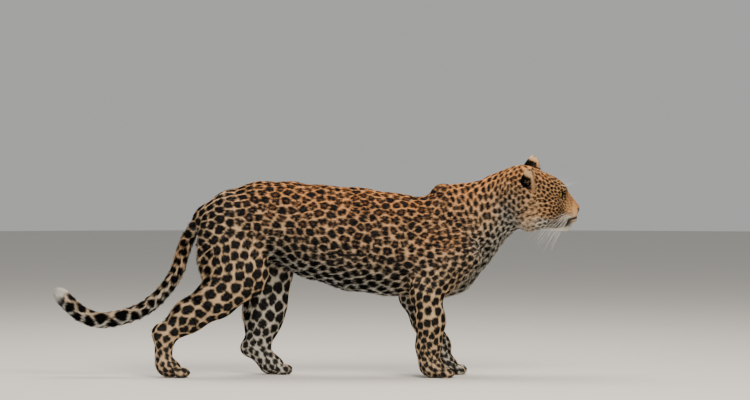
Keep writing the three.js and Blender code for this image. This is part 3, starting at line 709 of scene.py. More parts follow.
def ground_colour(p, n, weight):
    """The coat without its spots: tan above, buff lower down, white beneath and inside the legs.

    Each layer moves the colour towards its own by an amount, in the order of the list.
    """
    x, y, z = to_head(p).T
    legs, head, neck, tail = on_legs(weight), weight[:, HEAD], weight[:, NECK], weight[:, ON_TAIL]
    trunk_only = (1 - legs) * (1 - head)
    rump = (1 - step(-330, -150, p[:, 0])) * (1 - legs) * (1 - tail)
    low = np.maximum(1 - step(-0.75, 0.15, n[:, 2]), (1 - step(290, 450, p[:, 2])) * 0.75)
    belly = (1 - step(-0.92, -0.35, n[:, 2])) * trunk_only
    inner_leg = step(0.15, 0.7, -n[:, 1] * np.sign(p[:, 1])) * legs
    chest = step(0.1, 0.75, n[:, 0]) * (1 - step(420, 560, p[:, 2])) * step(380, 460, p[:, 0])
    throat = neck * (1 - step(-0.7, 0.1, n[:, 2]))
    tail_under = tail * (1 - step(-0.5, 0.35, n[:, 2])) * (1 - step(-520, -420, p[:, 0]))
    bridge = (1 - step(7, 24, np.abs(y))) * step(34, 70, x) * step(-16, 2, z)
    jaw = (1 - step(-52, -34, z)) * step(-80, -20, x)
    layers = [
        (TAN_BACK, step(0.0, 0.75, n[:, 2]) * (1 - legs)),
        (HAUNCH_CREAM, rump * 0.75),
        (BUFF_LOW, low * trunk_only),
        (LEG_BUFF, legs * 0.9),
        (BELLY_WHITE, belly),
        (BELLY_WHITE, inner_leg * 0.85),
        (BELLY_WHITE, chest * (1 - legs) * 0.8),
        (BELLY_WHITE, throat * 0.8),
        (BELLY_WHITE, tail_under),
        (FACE_TAN, head),
        (NOSE_BRIDGE, bridge * head),
        (CHIN_WHITE, jaw * head),
        (CHIN_WHITE, mound(x, z, (86, -31), (26, 14)) * head * 0.8),
        (CHIN_WHITE, mound(x, z, (-10, -66), (45, 22)) * head * 0.55),
        (EAR_PALE, mound(x, z, (40, 22), (15, 6)) * head * 0.7),
    ]
    colour = np.tile(linear(TAN_FLANK), (len(p), 1))
    for hex_colour, amount in layers:
        colour = blended(colour, hex_colour, amount)
    return colour


def spot_spacing(p, n, weight):
    """The distance between spots in mm: 28 on the flank, 21 on the shoulder, 17 on the neck,
    10 on the face, up to 36 on the thigh and 18 on the paws."""
    torso, x, z = weight[:, TORSO], p[:, 0], p[:, 2]
    spacing = torso * (28 + 2 * (1 - step(-300, -140, x)))
    spacing += weight[:, NECK] * (23 - 6 * step(520, 640, x))
    spacing -= 7 * step(330, 420, x) * torso
    spacing += 5 * (1 - step(-0.85, -0.3, n[:, 2])) * torso
    spacing += weight[:, HEAD] * (14.5 - 4.5 * step(-50, 40, to_head(p)[:, 0]))
    spacing += weight[:, FORE].sum(1) * (18 + 9 * step(40, 220, z) - 5 * step(260, 340, z))
    spacing += weight[:, HIND].sum(1) * (19 + 17 * step(60, 220, z) - 5 * step(280, 420, z))
    spacing += weight[:, ON_TAIL] * (26 + 10 * (1 - step(-640, -520, x)))
    return spacing


def nearest_two(p, centres, frames, scale):
    """For each point the nearest centre and its angle, and the scaled distance of the nearest two.

    Distances are taken in each centre's own frame, whose rows already hold its stretch. Only
    points within 1.9 spacings along the body are looked at.
    """
    order = np.argsort(p[:, 0])
    ps = p[order]
    d1 = np.full(len(p), 9.0)
    d2 = np.full(len(p), 9.0)
    who = np.zeros(len(p), int)
    angle = np.zeros(len(p))
    for i, c in enumerate(centres):
        reach = 1.9 * scale[i]
        lo, hi = np.searchsorted(ps[:, 0], (c[0] - reach, c[0] + reach))
        local = (ps[lo:hi] - c) @ frames[i].T
        d = np.sqrt((local**2).sum(1)) / scale[i]
        first = d < d1[lo:hi]
        d2[lo:hi] = np.where(first, d1[lo:hi], np.minimum(d2[lo:hi], d))
        d1[lo:hi] = np.where(first, d, d1[lo:hi])
        who[lo:hi] = np.where(first, i, who[lo:hi])
        angle[lo:hi] = np.where(first, np.arctan2(local[:, 1], local[:, 0]), angle[lo:hi])
    back = np.empty(len(p), int)
    back[order] = np.arange(len(p))
    return d1[back], d2[back], who[back], angle[back]


def spot_frames(n, lie, weight):
    """Each centre's frame: along the coat, across it and out, with lengths that stretch the spot."""
    along = unit(lie - (lie * n).sum(1, keepdims=True) * n)
    up = np.array([0.0, 0.0, 1.0])
    upright = unit(up - (n @ up)[:, None] * n)
    steep = np.clip(weight[:, NECK] + weight[:, TORSO] * 0.25, 0, 1)[:, None]
    along = unit(along * (1 - steep) + upright * steep)
    across = np.cross(n, along)
    long_way = (1.12 + 0.25 * weight[:, NECK])[:, None]
    return np.stack([along / long_way, across * long_way, n * 1.2], 1)


def place_spots(p, n, lie, weight):
    """Centres evenly over the skin: dart throwing at the local spacing, then three rounds in
    which each centre moves to the middle of the points nearest to it."""
    spacing = spot_spacing(p, n, weight)
    order = np.argsort(p[:, 0])
    ps, ss = p[order], spacing[order]
    alive = np.ones(len(ps), bool)
    chosen = []
    for i in RNG.permutation(len(ps)):
        if not alive[i]:
            continue
        chosen.append(i)
        r = ss[i] * 0.86
        lo, hi = np.searchsorted(ps[:, 0], (ps[i, 0] - r, ps[i, 0] + r))
        alive[lo:hi] &= ((ps[lo:hi] - ps[i]) ** 2).sum(1) > r * r
    chosen = order[np.array(chosen)]
    centres, normals, lies, weights = p[chosen], n[chosen], lie[chosen], weight[chosen]
    for _ in range(3):
        scale = spot_spacing(centres, normals, weights)
        who = nearest_two(p, centres, spot_frames(normals, lies, weights), scale)[2]
        count = np.maximum(np.bincount(who, minlength=len(centres)), 1)

        def mean(a):
            return np.stack([np.bincount(who, column, len(centres)) / count for column in a.T], 1)

        moved, normals, lies, weights = mean(p), unit(mean(n)), unit(mean(lie)), mean(weight)
        near = np.linalg.norm(moved - centres, axis=1) < scale
        centres = np.where(near[:, None], moved, centres)
    frames = spot_frames(normals, lies, weights)
    return centres, frames, spot_spacing(centres, normals, weights), normals, weights


skin_weight, skin_lie = body_map(skin_points)[:2]
SAMPLES = 70000  # points of the skin on which the spots are spread
sample = RNG.choice(len(skin_points), SAMPLES, replace=False)
spots, spot_axes, spot_scale, spot_normals, spot_weights = place_spots(
    skin_points[sample], skin_normals[sample], skin_lie[sample], skin_weight[sample]
)
# six draws for each spot; phase, size, inner size, lobes and broken or whole use 0, 1, 2, 3 and 5
spot_draw = RNG.random((len(spots), 6))


def markings(p):
    """How black and how brown the coat is at each point, each 0 to 1.

    q = 2 d1 / (d1 + d2) is 0 at a spot's centre and 1 half way to the next one. Where the
    corners between spots are far off, q is raised towards d1 / 0.62, which rounds the spot. A
    rosette is black between an inner and an outer q, broken by gaps that turn round it; a solid
    spot is black out to its outer q.
    """
    d1, d2, who, angle = nearest_two(p, spots, spot_axes, spot_scale)
    q = 2 * d1 / np.maximum(d1 + d2, 1e-6)
    draw, w = spot_draw[who], spot_weights[who]
    legs, tail = on_legs(w), w[:, ON_TAIL]
    phase = draw[:, 0] * 2 * math.pi
    lobes = 2 + np.floor(draw[:, 3] * 2.99)
    wobble = 0.055 * np.cos(lobes * angle + phase)
    wobble += 0.035 * np.sin((lobes + 2) * angle + 2.3 * phase)
    round_off = 0.25 + 0.65 * np.clip(legs, 0, 1)
    q = q + round_off * (np.maximum(q, d1 / 0.62) - q)
    edge = 0.04
    small = np.clip(w[:, NECK] + w[:, HEAD] + legs + tail, 0, 1)
    outer = 0.92 - 0.07 * small + 0.03 * w[:, HEAD] + 0.06 * (draw[:, 1] - 0.5)
    outer += 0.08 * tail + 0.05 * legs
    on_flank = np.clip(w[:, TORSO] * 1.3, 0, 1) * step(-0.65, -0.1, spot_normals[who, 2])
    on_flank *= step(-330, -180, spots[who, 0])
    inner = on_flank * (0.40 * draw[:, 2] - 0.08) - 0.3 * (1 - on_flank)
    ring = 1 - step(outer - edge, outer + edge, q + wobble)
    ring *= step(inner - edge, inner + edge, q + wobble)
    gap = step(0.90, 0.99, np.cos(lobes * angle + phase)) * step(0.25, 0.45, q)
    gap *= on_flank * (draw[:, 5] < 0.5)
    brown = (1 - step(inner, inner + 0.1, q)) * on_flank
    brown = np.maximum(brown, gap * (1 - step(outer - 0.1, outer, q)) * 0.5)
    reach = 1 - step(0.95, 1.3, d1)
    return ring * (1 - gap) * reach, brown * reach


def face_marks(p):
    """Black where the face has no spots but lines: lids, tear line, whisker rows, lips and nose.

    Returns the bare places (nose leather and lips), the black fur with the lip patch's painted shade,
    and where spots are kept off.
    """
    q = to_head(p)
    side = np.abs(q[:, 1])
    x, z = q[:, 0], q[:, 2]
    in_head = (np.abs(x - 30) < 120) & (np.abs(z) < 130) & (side < 100)
    above_mouth = z - mouth_height(x)
    nose = step(107.5, 110, x) * (1 - step(4.5, 7, z)) * step(-19, -16, z) * (1 - step(17, 20, side))
    side_lip = (1 - step(2.6, 4.2, np.abs(above_mouth + 1.2))) * step(8, 22, x) * step(8, 14, side)
    front_lip = (1 - step(1.6, 3.0, np.abs(above_mouth))) * step(95, 105, x)
    # a blunt patch under the lip, black lip fur that also stands as painted shade on the whisker pad's
    # lower part above the mouth line: exp(-(dx^6 + dz^6))
    lip_fur_and_shade = np.exp(-(((x - 64) / 37) ** 6 + ((above_mouth + 11) / 17.0) ** 6))
    lip_fur_and_shade *= step(9, 16, side)
    lid = np.ones(len(p))
    for s in (1, -1):
        local = (q - eye_centre(s)) @ gaze(s).T
        near = np.hypot(local[:, 1] / 17.0, local[:, 2] / 11.5)
        at_lids = (local[:, 0] > 2) & (np.linalg.norm(local, axis=1) < 25)
        lid = np.where(at_lids, np.minimum(lid, near), lid)
    rim = 1 - step(0.86, 1.0, lid)
    tear = np.exp(-(((side - 21) / 2.8) ** 2)) * step(46, 52, x) * (1 - step(66, 76, x))
    tear *= (1 - step(36, 44, z)) * step(10, 20, z)
    rows = np.zeros(len(p))
    muzzle = step(58, 66, x) * (1 - step(96, 104, x))
    for k in range(4):
        row = -14 - 7.2 * k - (x - 90) * (0.08 + 0.05 * k)
        dots = 0.5 + 0.5 * np.cos((x - 3 * k) * 2 * math.pi / 9.5)
        rows = np.maximum(rows, (1 - step(1.3, 2.4, np.abs(z - row))) * muzzle * dots)
    rows *= step(14, 20, side) * (above_mouth > 3)
    plain = [
        (1 - step(9, 19, side)) * step(44, 62, x) * step(-14, 4, z),
        (1 - step(-46, -34, z)) * step(20, 50, x),
        np.exp(-(((x - 84) / 22) ** 4 + ((z + 30) / 12) ** 4)),
        step(88, 100, x),
        0.45 * step(58, 80, x),
    ]
    black = np.maximum.reduce([rim, tear, rows * 0.9, lip_fur_and_shade])
    bare = np.maximum.reduce([nose, side_lip, front_lip])
    return bare * in_head, black * in_head, np.maximum.reduce(plain) * in_head


def pale_tip(p, weight):
    """1 at the tail's pale tip: from 0.90 to 0.95 of the way along the last stretch of its line."""
    line = tail_line[18:]
    d = ((p[:, None, ::2] - line[None, :, ::2]) ** 2).sum(2)
    place = d.argmin(1) / (len(line) - 1)
    return step(0.90, 0.95, place) * weight[:, ON_TAIL] * (p[:, 0] < -500)


def coat_colour(p, n, weight):
    """The whole colour of the coat and where it is bare: ground, then the brown centres at a
    fifth to a tenth of the ground, then black spots, and the face's own marks."""
    colour = ground_colour(p, n, weight)
    black, brown = markings(p)
    bare, lines, plain = face_marks(p)
    centre = colour * np.array([0.22, 0.14, 0.10])
    colour = colour + (centre - colour) * (brown * (1 - plain))[:, None]
    tip = pale_tip(p, weight)
    colour = blended(colour, BELLY_WHITE, tip)
    black = np.maximum(black * (1 - plain), lines) * (1 - tip * 0.85)
    colour = blended(colour, SPOT_BLACK, black)
    return blended(colour, NOSE_BLACK, bare), bare


def painter(n, weight):
    """A function from points to the coat's colours there, for fixed normals and part weights."""
    return lambda p: coat_colour(p, n, weight)[0]


# Materials


def add(tree, kind, inputs=None, links=None, **settings):
    """One node with its settings, its plain inputs and its links from other sockets."""
    node = tree.nodes.new(kind)
    for name, value in settings.items():
        setattr(node, name, value)
    for name, value in (inputs or {}).items():
        node.inputs[name].default_value = value
    for name, socket in (links or {}).items():
        tree.links.new(socket, node.inputs[name])
    return node


def new_material(name):
    """An empty node material with its surface shader."""
    material = bpy.data.materials.new(name)
    material.use_nodes = True
    tree = material.node_tree
    return material, tree, tree.nodes["Principled BSDF"]


def on_object(tree, kind, scale, **inputs):
    """A texture on the object's own coordinates, with scale in cells to the metre."""
    coords = add(tree, "ShaderNodeTexCoord")
    return add(tree, kind, {"Scale": scale, **inputs}, {"Vector": coords.outputs["Object"]})


def grained_marks(tree, shader, grain, darkest, lightest):
    """The piece's own markings, from darkest to lightest times as light by a fine grain."""
    marks = add(tree, "ShaderNodeAttribute", attribute_name="coat_colour")
    shade = add(
        tree,
        "ShaderNodeMapRange",
        {"From Min": 0.3, "From Max": 0.7, "To Min": darkest, "To Max": lightest},
        {"Value": grain.outputs["Fac"]},
    )
    sockets = {0: marks.outputs["Color"], "Scale": shade.outputs["Result"]}
    mixed = add(tree, "ShaderNodeVectorMath", links=sockets, operation="SCALE")
    tree.links.new(mixed.outputs["Vector"], shader.inputs["Base Color"])


def fur_material():
    """Short fur: each tuft is a bundle of dull hairs, so it scatters light and hardly shines.

    A grain 1.1 mm across lightens and darkens it by about a seventh, as single hairs do.
    """
    material, tree, shader = new_material("short_fur_tufts")
    grain = on_object(tree, "ShaderNodeTexNoise", 1000 / 1.1, Detail=3.0, Roughness=0.6)
    grained_marks(tree, shader, grain, 0.84, 1.14)
    shader.inputs["Roughness"].default_value = 0.75
    shader.inputs["Specular IOR Level"].default_value = 0.04
    return material


def skin_material():
    """The skin under the coat: short underfur, and bare nose leather and lips.

    Leather of the nose is cut into cells about 1.6 mm across by fine furrows, and is moist,
    so it shines where the fur doesn't.
    """
    material, tree, shader = new_material("underfur_and_nose_leather")
    bare = add(tree, "ShaderNodeAttribute", attribute_name="bare")
    grain = on_object(tree, "ShaderNodeTexNoise", 700.0, Detail=3.0)
    cells = on_object(tree, "ShaderNodeTexVoronoi", 620.0)
    grained_marks(tree, shader, grain, 0.62, 0.9)
    gloss = {"To Min": 0.85, "To Max": 0.38}
    rough = add(tree, "ShaderNodeMapRange", gloss, {"Value": bare.outputs["Fac"]})
    tree.links.new(rough.outputs["Result"], shader.inputs["Roughness"])
    sockets = {"Factor": bare.outputs["Fac"], 2: grain.outputs["Fac"], 3: cells.outputs["Distance"]}
    height = add(tree, "ShaderNodeMix", links=sockets, data_type="FLOAT")
    depth = {"Strength": 0.6, "Distance": 0.0007}
    bump = add(tree, "ShaderNodeBump", depth, {"Height": height.outputs[0]})
    tree.links.new(bump.outputs["Normal"], shader.inputs["Normal"])
    return material


# How far out from the pupil's middle each colour lies, as a share of a half turn of the eyeball
EYE_COLOURS = [
    (0.0, "#020202"), (0.085, "#030303"),  # pupil
    (0.105, "#4a3a14"), (0.16, "#8f742c"), (0.215, "#6a6029"),  # iris
    (0.245, "#17120a"), (0.30, "#120d0a"), (1.0, "#2a1c16"),  # dark rim and the white in shade
]


def eye_material():
    """An eyeball: wet cornea over a black pupil and an amber iris with fine spokes.

    The piece's own u runs from the pupil's middle to the back of the eye, v runs round it.
    The spokes push the colours out or in by up to a fiftieth.
    """
    material, tree, shader = new_material("wet_eye")
    uv = add(tree, "ShaderNodeUVMap", uv_map="eye_round").outputs["UV"]
    parts = add(tree, "ShaderNodeSeparateXYZ", links={"Vector": uv})
    stretch = add(tree, "ShaderNodeMapping", {"Scale": (3.0, 60.0, 1.0)}, {"Vector": uv})
    fine = {"Scale": 1.0, "Detail": 2.0}
    spokes = add(tree, "ShaderNodeTexNoise", fine, {"Vector": stretch.outputs["Vector"]})
    push = add(tree, "ShaderNodeMath", {1: 0.02}, {0: spokes.outputs["Fac"]}, operation="MULTIPLY")
    sockets = {0: parts.outputs["X"], 1: push.outputs["Value"]}
    place = add(tree, "ShaderNodeMath", links=sockets, operation="ADD")
    ramp = add(tree, "ShaderNodeValToRGB", links={"Fac": place.outputs["Value"]})
    elements = ramp.color_ramp.elements
    while len(elements) < len(EYE_COLOURS):
        elements.new(0.5)
    for element, (at, hex_colour) in zip(elements, EYE_COLOURS):
        element.position = at
        element.color = (*linear(hex_colour), 1)
    tree.links.new(ramp.outputs["Color"], shader.inputs["Base Color"])
    shader.inputs["Roughness"].default_value = 0.06
    shader.inputs["IOR"].default_value = 1.36
    return material


def mottled_material(name, scale, low, high, roughness):
    """A plain matt or satin stuff that wanders between two linear colours, scale cells a metre."""
    material, tree, shader = new_material(name)
    mottle = on_object(tree, "ShaderNodeTexNoise", scale)
    ramp = add(tree, "ShaderNodeValToRGB", links={"Fac": mottle.outputs["Fac"]})
    ramp.color_ramp.elements[0].color = (*low, 1)
    ramp.color_ramp.elements[1].color = (*high, 1)
    tree.links.new(ramp.outputs["Color"], shader.inputs["Base Color"])
    shader.inputs["Roughness"].default_value = roughness
    return material


# Making pieces


def layer_of(mesh, name, kind, key, values):
    """One number or colour for each point, as an attribute of the mesh."""
    layer = mesh.attributes.new(name, kind, "POINT")
    layer.data.foreach_set(key, values.astype(np.float32).ravel())


def make_piece(name, points, faces, material, colours=None, bare=None, normals=None):
    """A smooth mesh from arrays: points in mm of the frame of making, faces, and point colours."""
    mesh = bpy.data.meshes.new(name)
    mesh.vertices.add(len(points))
    mesh.vertices.foreach_set("co", ((points + SHIFT) / 1000).astype(np.float32).ravel())
    mesh.loops.add(faces.size)
    mesh.loops.foreach_set("vertex_index", faces.astype(np.int32).ravel())
    mesh.polygons.add(len(faces))
    corners = faces.shape[1]
    mesh.polygons.foreach_set("loop_start", np.arange(0, faces.size, corners, dtype=np.int32))
    mesh.polygons.foreach_set("loop_total", np.full(len(faces), corners, np.int32))
    mesh.update(calc_edges=True)
    mesh.validate()
    mesh.polygons.foreach_set("use_smooth", np.full(len(mesh.polygons), True))
    if colours is not None:
        opaque = np.hstack([colours, np.ones((len(colours), 1))])
        layer_of(mesh, "coat_colour", "FLOAT_COLOR", "color", opaque)
    if bare is not None:
        layer_of(mesh, "bare", "FLOAT", "value", bare)
    if normals is not None:
        mesh.normals_split_custom_set_from_vertices(normals.astype(np.float32).tolist())
    mesh.materials.append(material)
    piece = bpy.data.objects.new(name, mesh)
    bpy.context.scene.collection.objects.link(piece)
    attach(piece, "root")
    return piece


def give_uv(piece, name, uv):
    """A UV map from one pair of numbers for each point."""
    mesh = piece.data
    layer = mesh.uv_layers.new(name=name)
    corner = np.empty(len(mesh.loops), np.int32)
    mesh.loops.foreach_get("vertex_index", corner)
    layer.data.foreach_set("uv", uv[corner].astype(np.float32).ravel())


skin_colour, bare = coat_colour(skin_points, skin_normals, skin_weight)
skin = make_piece("skin", skin_points, skin_faces, skin_material(), skin_colour, bare)
LEGS = [f"foreleg_{s}_{p}" for s in ("left", "right") for p in ("upper", "lower", "paw")]
LEGS += [f"hindleg_{s}_{p}" for s in ("left", "right") for p in ("thigh", "shank", "paw")]
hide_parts("torso", "neck", "head", "lower_jaw", "nose", "tail_base", "tail_middle", "tail_tip", *LEGS)

CORNEA_RADIUS, CORNEA_FORWARD = 10, 8.6
CORNEA_SPREAD = 0.8  # radians from the sight within which the cornea may stand out


def eyeball(side, which):
    """A sphere by polar angle from its sight and turn round it.

    The cornea is a smaller ball set forward: the larger of the two radii.
    """
    rings, turns = 28, 40
    polar = np.linspace(0.001, math.pi - 0.001, rings)[:, None]
    turn = np.linspace(0, 2 * math.pi, turns, endpoint=False)[None]
    off = CORNEA_RADIUS**2 - (CORNEA_FORWARD * np.sin(polar)) ** 2
    cornea = CORNEA_FORWARD * np.cos(polar) + np.sqrt(np.maximum(off, 0))
    radius = np.where(polar < CORNEA_SPREAD, np.maximum(EYE_RADIUS, cornea), EYE_RADIUS)
    ahead, out = radius * np.cos(polar), radius * np.sin(polar)
    local = np.stack([ahead + 0 * turn, out * np.cos(turn), out * np.sin(turn)], -1).reshape(-1, 3)
    points = from_head(eye_centre(side) + local @ gaze(side))
    i, j = np.meshgrid(np.arange(rings - 1), np.arange(turns), indexing="ij")
    a = i * turns + j
    b = i * turns + (j + 1) % turns
    quads = np.stack([a, a + turns, b + turns, b], -1).reshape(-1, 4)
    # each end's tiny ring is closed by a row of quads from one side of it to the other
    k = np.arange(turns // 2 - 1)
    cap = np.stack([k, k + 1, turns - 2 - k, turns - 1 - k], -1)
    quads = np.concatenate([quads, cap, cap[:, ::-1] + (rings - 1) * turns])
    piece = make_piece("eyeball_" + which, points, quads[:, ::side], WET_EYE)
    uv = np.stack([polar / math.pi + 0 * turn, turn / (2 * math.pi) + 0 * polar], -1)
    give_uv(piece, "eye_round", uv.reshape(-1, 2))
    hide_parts("eye_left" if side > 0 else "eye_right")


WET_EYE = eye_material()
eyeball(1, "left")
eyeball(-1, "right")


# The ears: a crescent sheet that stands on its root, thick enough to be solid

EARS = {
    "left": {"side": 1, "at": (-50, 44, 64), "out": 10, "forward": 15},
    "right": {"side": -1, "at": (-70, 52, 46), "out": 30, "forward": -16},
}
EAR_HEIGHT, EAR_HALF_WIDTH, EAR_DEPTH, EAR_TURN = 76, 29, 50, 8
EAR_WAIST = 0.35  # the share of its height below which the ear narrows to its root
FUR = fur_material()


def ear_sheet(u, v, thick):
    """A point of the ear: across by u from -1 to 1, up by v from 0 to 1, moved back by thick.

    Its width is a half round above its waist. It is cupped forwards by u squared.
    """
    arch = np.sqrt(np.maximum(0.012, 1 - ((v - EAR_WAIST) / 0.66) ** 2))
    round_top = np.where(v > EAR_WAIST, arch, 0.8 + 0.2 * v / EAR_WAIST)
    cup = EAR_DEPTH * (1 - 0.45 * v)
    x = cup * (u * u - 0.75) * (0.4 + 0.6 * round_top) - 10 * v * v - thick * (1 - 0.7 * u * u)
    return np.stack([x, EAR_HALF_WIDTH * round_top * u, EAR_HEIGHT * v], -1)


def ear_wall(v):
    """The ear's thickness in mm: 6 at its root and 2 at its tip."""
    return 4.0 * (1.5 - v)


def ear_frame(ear):
    """The ear's turn and root in the head's frame."""
    side = ear["side"]
    lean = turn_about("x", -side * ear["out"]) @ turn_about("y", ear["forward"])
    x, y, z = ear["at"]
    return lean @ turn_about("z", side * EAR_TURN), np.array([x, side * y, z], float)


def ear_points(ear, u, v, thick):
    """Points of the ear's sheet, turned and set on the head."""
    turn, root = ear_frame(ear)
    return from_head(ear_sheet(u, v, thick) @ turn.T + root)


def strip(a, b, n):
    """Quads of the rim between two rows of the front sheet's points and their twins behind."""
    return np.stack([a, b, b + n, a + n], 1)


def build_ear(which, ear):
    """The ear's skin: a front sheet and a back sheet joined round the rim."""
    across, up = 25, 30
    rows, columns = 1 - (1 - np.linspace(0, 1, up)) ** 1.5, np.linspace(-1, 1, across)
    v, u = np.meshgrid(rows, columns, indexing="ij")
    front = ear_points(ear, u, v, 0 * v).reshape(-1, 3)
    behind = ear_points(ear, u, v, ear_wall(v)).reshape(-1, 3)
    i, j = np.meshgrid(np.arange(up - 1), np.arange(across - 1), indexing="ij")
    a = (i * across + j).ravel()
    sheet = np.stack([a, a + 1, a + across + 1, a + across], 1)
    n = up * across
    left = np.arange(up - 1) * across
    right = left + across - 1
    base = np.arange(across - 1)
    top = (up - 1) * across + base
    rim = [strip(left, left + across, n), strip(right + across, right, n)]
    rim += [strip(top, top + 1, n)[:, ::-1], strip(base, base + 1, n)]
    quads = np.vstack([sheet, (sheet + n)[:, ::-1]] + rim)
    # the front of the cup is darker towards its middle: painted shade in the hollow
    shade_front = blended(np.tile(linear("#8a6a4c"), (n, 1)), "#5c4032", 1 - np.abs(u.ravel()))
    colours = np.vstack([shade_front, ear_back_colour(u.ravel(), v.ravel())])
    points = np.vstack([front, behind])
    piece = make_piece(f"ear_{which}_skin", points, quads, FUR, colours)
    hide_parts("ear_left" if ear["side"] > 0 else "ear_right")


def ear_back_colour(u, v):
    """Black over the middle and lower back of the ear, pale at the tip, tan at the root and rim."""
    colour = np.tile(linear("#b8906a"), (len(u), 1))
    colour = blended(colour, EAR_PALE, step(0.72, 0.9, v))
    patch = (1 - step(0.70, 0.82, v)) * step(0.04, 0.16, v) * (1 - step(0.82, 0.92, np.abs(u)))
    return blended(colour, SPOT_BLACK, patch)


for which, ear in EARS.items():
    build_ear(which, ear)


# Tufts


def laid(normal, lie, swing):
    """Along and across each tuft on the skin: the coat's lie, turned by a random swing in radians."""
    swing = RNG.normal(0, swing, len(normal))[:, None]
    along = unit(lie - (lie * normal).sum(1, keepdims=True) * normal)
    across = np.cross(normal, along)
    c, s = np.cos(swing), np.sin(swing)
    return along * c + across * s, across * c - along * s


def varied(size, low, high):
    """Each size times a random share between low and high, as a column."""
    return (size * RNG.uniform(low, high, len(size)))[:, None]


def gathered(points, pattern, colours, spread, normals):
    """Tufts that share one pattern of faces, as flat arrays, each a little lighter or darker."""
    n, per = points.shape[:2]
    points = points.reshape(-1, 3)
    points[:, 2] = np.maximum(points[:, 2], SOLE)
    faces = (np.arange(n)[:, None, None] * per + np.array(pattern)).reshape(-1, 3)
    tone = np.exp(RNG.normal(0, spread, n))[:, None, None]
    colours = np.clip(colours * tone, 0.002, 0.95).reshape(-1, 3)
    return points, faces, colours, unit(normals).reshape(-1, 3), per


TUFT_FACES = [[0, 2, 1], [1, 2, 3], [3, 2, 0], [0, 1, 3]]
LOCK_FACES = [[2, 1, 0], [1, 4, 0], [4, 3, 0], [2, 5, 1], [5, 4, 1]]
LOCK_FACES += [[0, 3, 2], [3, 5, 2], [4, 6, 3], [5, 6, 4], [3, 6, 5]]


def tufts(root, normal, lie, length, width, lift, paint):
    """Short tufts as closed four-sided blades.

    Each has two root corners sunk in the skin, a ridge point at 0.42 of its length raised by a
    fifth of its width, and a tip. It leaves the skin at the lift angle and lies over towards it.
    """
    along, across = laid(normal, lie, 0.16)
    lift = varied(lift, 0.6, 1.4)
    length = varied(length, 0.75, 1.2)
    width = varied(width, 0.8, 1.2)
    rise, run = np.sin(lift), np.cos(lift)
    sunk = root - normal * 0.6
    left, right = sunk - across * width / 2, sunk + across * width / 2
    ridge = root + along * run * length * 0.42 + normal * (rise * length * 0.5 + width * 0.22)
    tip = root + along * run * length + normal * rise * length * 0.82
    # the root corners are darkened to 0.86 as painted shade deep in the coat, and the tip is made 1.08
    # times as light
    shaded_root = paint(root) * 0.86
    colours = np.stack([shaded_root, shaded_root, paint(ridge), paint(tip) * 1.08], 1)
    facing = normal[:, None] * 0.9 + along[:, None] * 0.18
    facing = facing + np.stack([-across * 0.35, across * 0.35, along * 0, along * 0.3], 1)
    return gathered(np.stack([left, right, ridge, tip], 1), TUFT_FACES, colours, 0.07, facing)


def locks(root, normal, lie, length, width, lift, paint, droop=0.0):
    """Longer locks: a three-sided section at the root and half way, and a tip, ten faces in all.

    The lock leaves at the lift angle and bends down towards the skin, and by droop to the floor.
    """
    along, across = laid(normal, lie, 0.2)
    lift = varied(lift, 0.6, 1.4)
    length = varied(length, 0.7, 1.25)
    width = varied(width, 0.8, 1.2)
    sunk = root - normal * 0.8
    reach = length * 0.5
    half = root + along * reach * np.cos(lift) + normal * reach * np.sin(lift)
    tip = half + along * reach * np.cos(lift * 0.4) + normal * reach * np.sin(lift * 0.4)
    half[:, 2] -= droop * length[:, 0] * 0.15
    tip[:, 2] -= droop * length[:, 0] * 0.6

    def section(centre, w):
        return [centre - across * w / 2, centre + across * w / 2, centre + normal * w * 0.4]

    points = np.stack(section(sunk, width) + section(half, width * 0.8) + [tip], 1)
    # the root section is darkened to 0.85 as painted shade deep in the coat, and the tip is made 1.08
    # times as light
    colours = np.stack([paint(root) * 0.85] * 3 + [paint(half)] * 3 + [paint(tip) * 1.08], 1)
    facing = normal[:, None] * 0.85 + along[:, None] * 0.2
    facing = facing + np.stack([-across * 0.5, across * 0.5, along * 0] * 2 + [along * 0.4], 1)
    return gathered(points, LOCK_FACES, colours, 0.08, facing)


PATCH = 0.0015  # half of a tuft's patch on the bake map


def coat_piece(name, made, part, share, angle):
    """A coat piece with its bake map: each tuft is a small patch at its root's place on the skin.

    u is how far along its part the root is and v its angle round the part. Where a piece grows
    on several parts, each has its own strip of v.
    """
    points, faces, colours, normals, per = made
    piece = make_piece(name, points, faces, FUR, colours, normals=normals)
    span = max(share.max() - share.min(), 1e-6)
    u = 0.01 + 0.98 * (share - share.min()) / span
    strips, strip_of = np.unique(part, return_inverse=True)
    v = (strip_of + 0.01 + 0.98 * angle) / len(strips)
    turn = np.arange(per) * 2 * math.pi / per
    uv = np.stack([u[:, None] + PATCH * np.cos(turn), v[:, None] + PATCH * np.sin(turn)], -1)
    give_uv(piece, "OFBake", uv.reshape(-1, 2))


def scatter(count, density):
    """Random roots on the skin: a face by area times density, then a place inside it."""
    a, b, c = (skin_points[skin_faces[:, i]] for i in range(3))
    area = np.linalg.norm(np.cross(b - a, c - a), axis=1) / 2
    total = np.cumsum(area * density[skin_faces].mean(1))
    face = np.searchsorted(total, RNG.random(count) * total[-1])
    r1, r2 = np.sqrt(RNG.random(count)), RNG.random(count)
    w = np.stack([1 - r1, r1 * (1 - r2), r1 * r2], 1)[:, :, None]
    corners = skin_faces[face]
    return (skin_points[corners] * w).sum(1), unit((skin_normals[corners] * w).sum(1))


MUZZLE = np.array([78, 0, 5])  # in the head's frame


def near_muzzle(q, low, high):
    """1 within low mm of the muzzle, 0 beyond high mm, for points of the head's frame."""
    return 1 - step(low, high, np.linalg.norm(q - MUZZLE, axis=1))


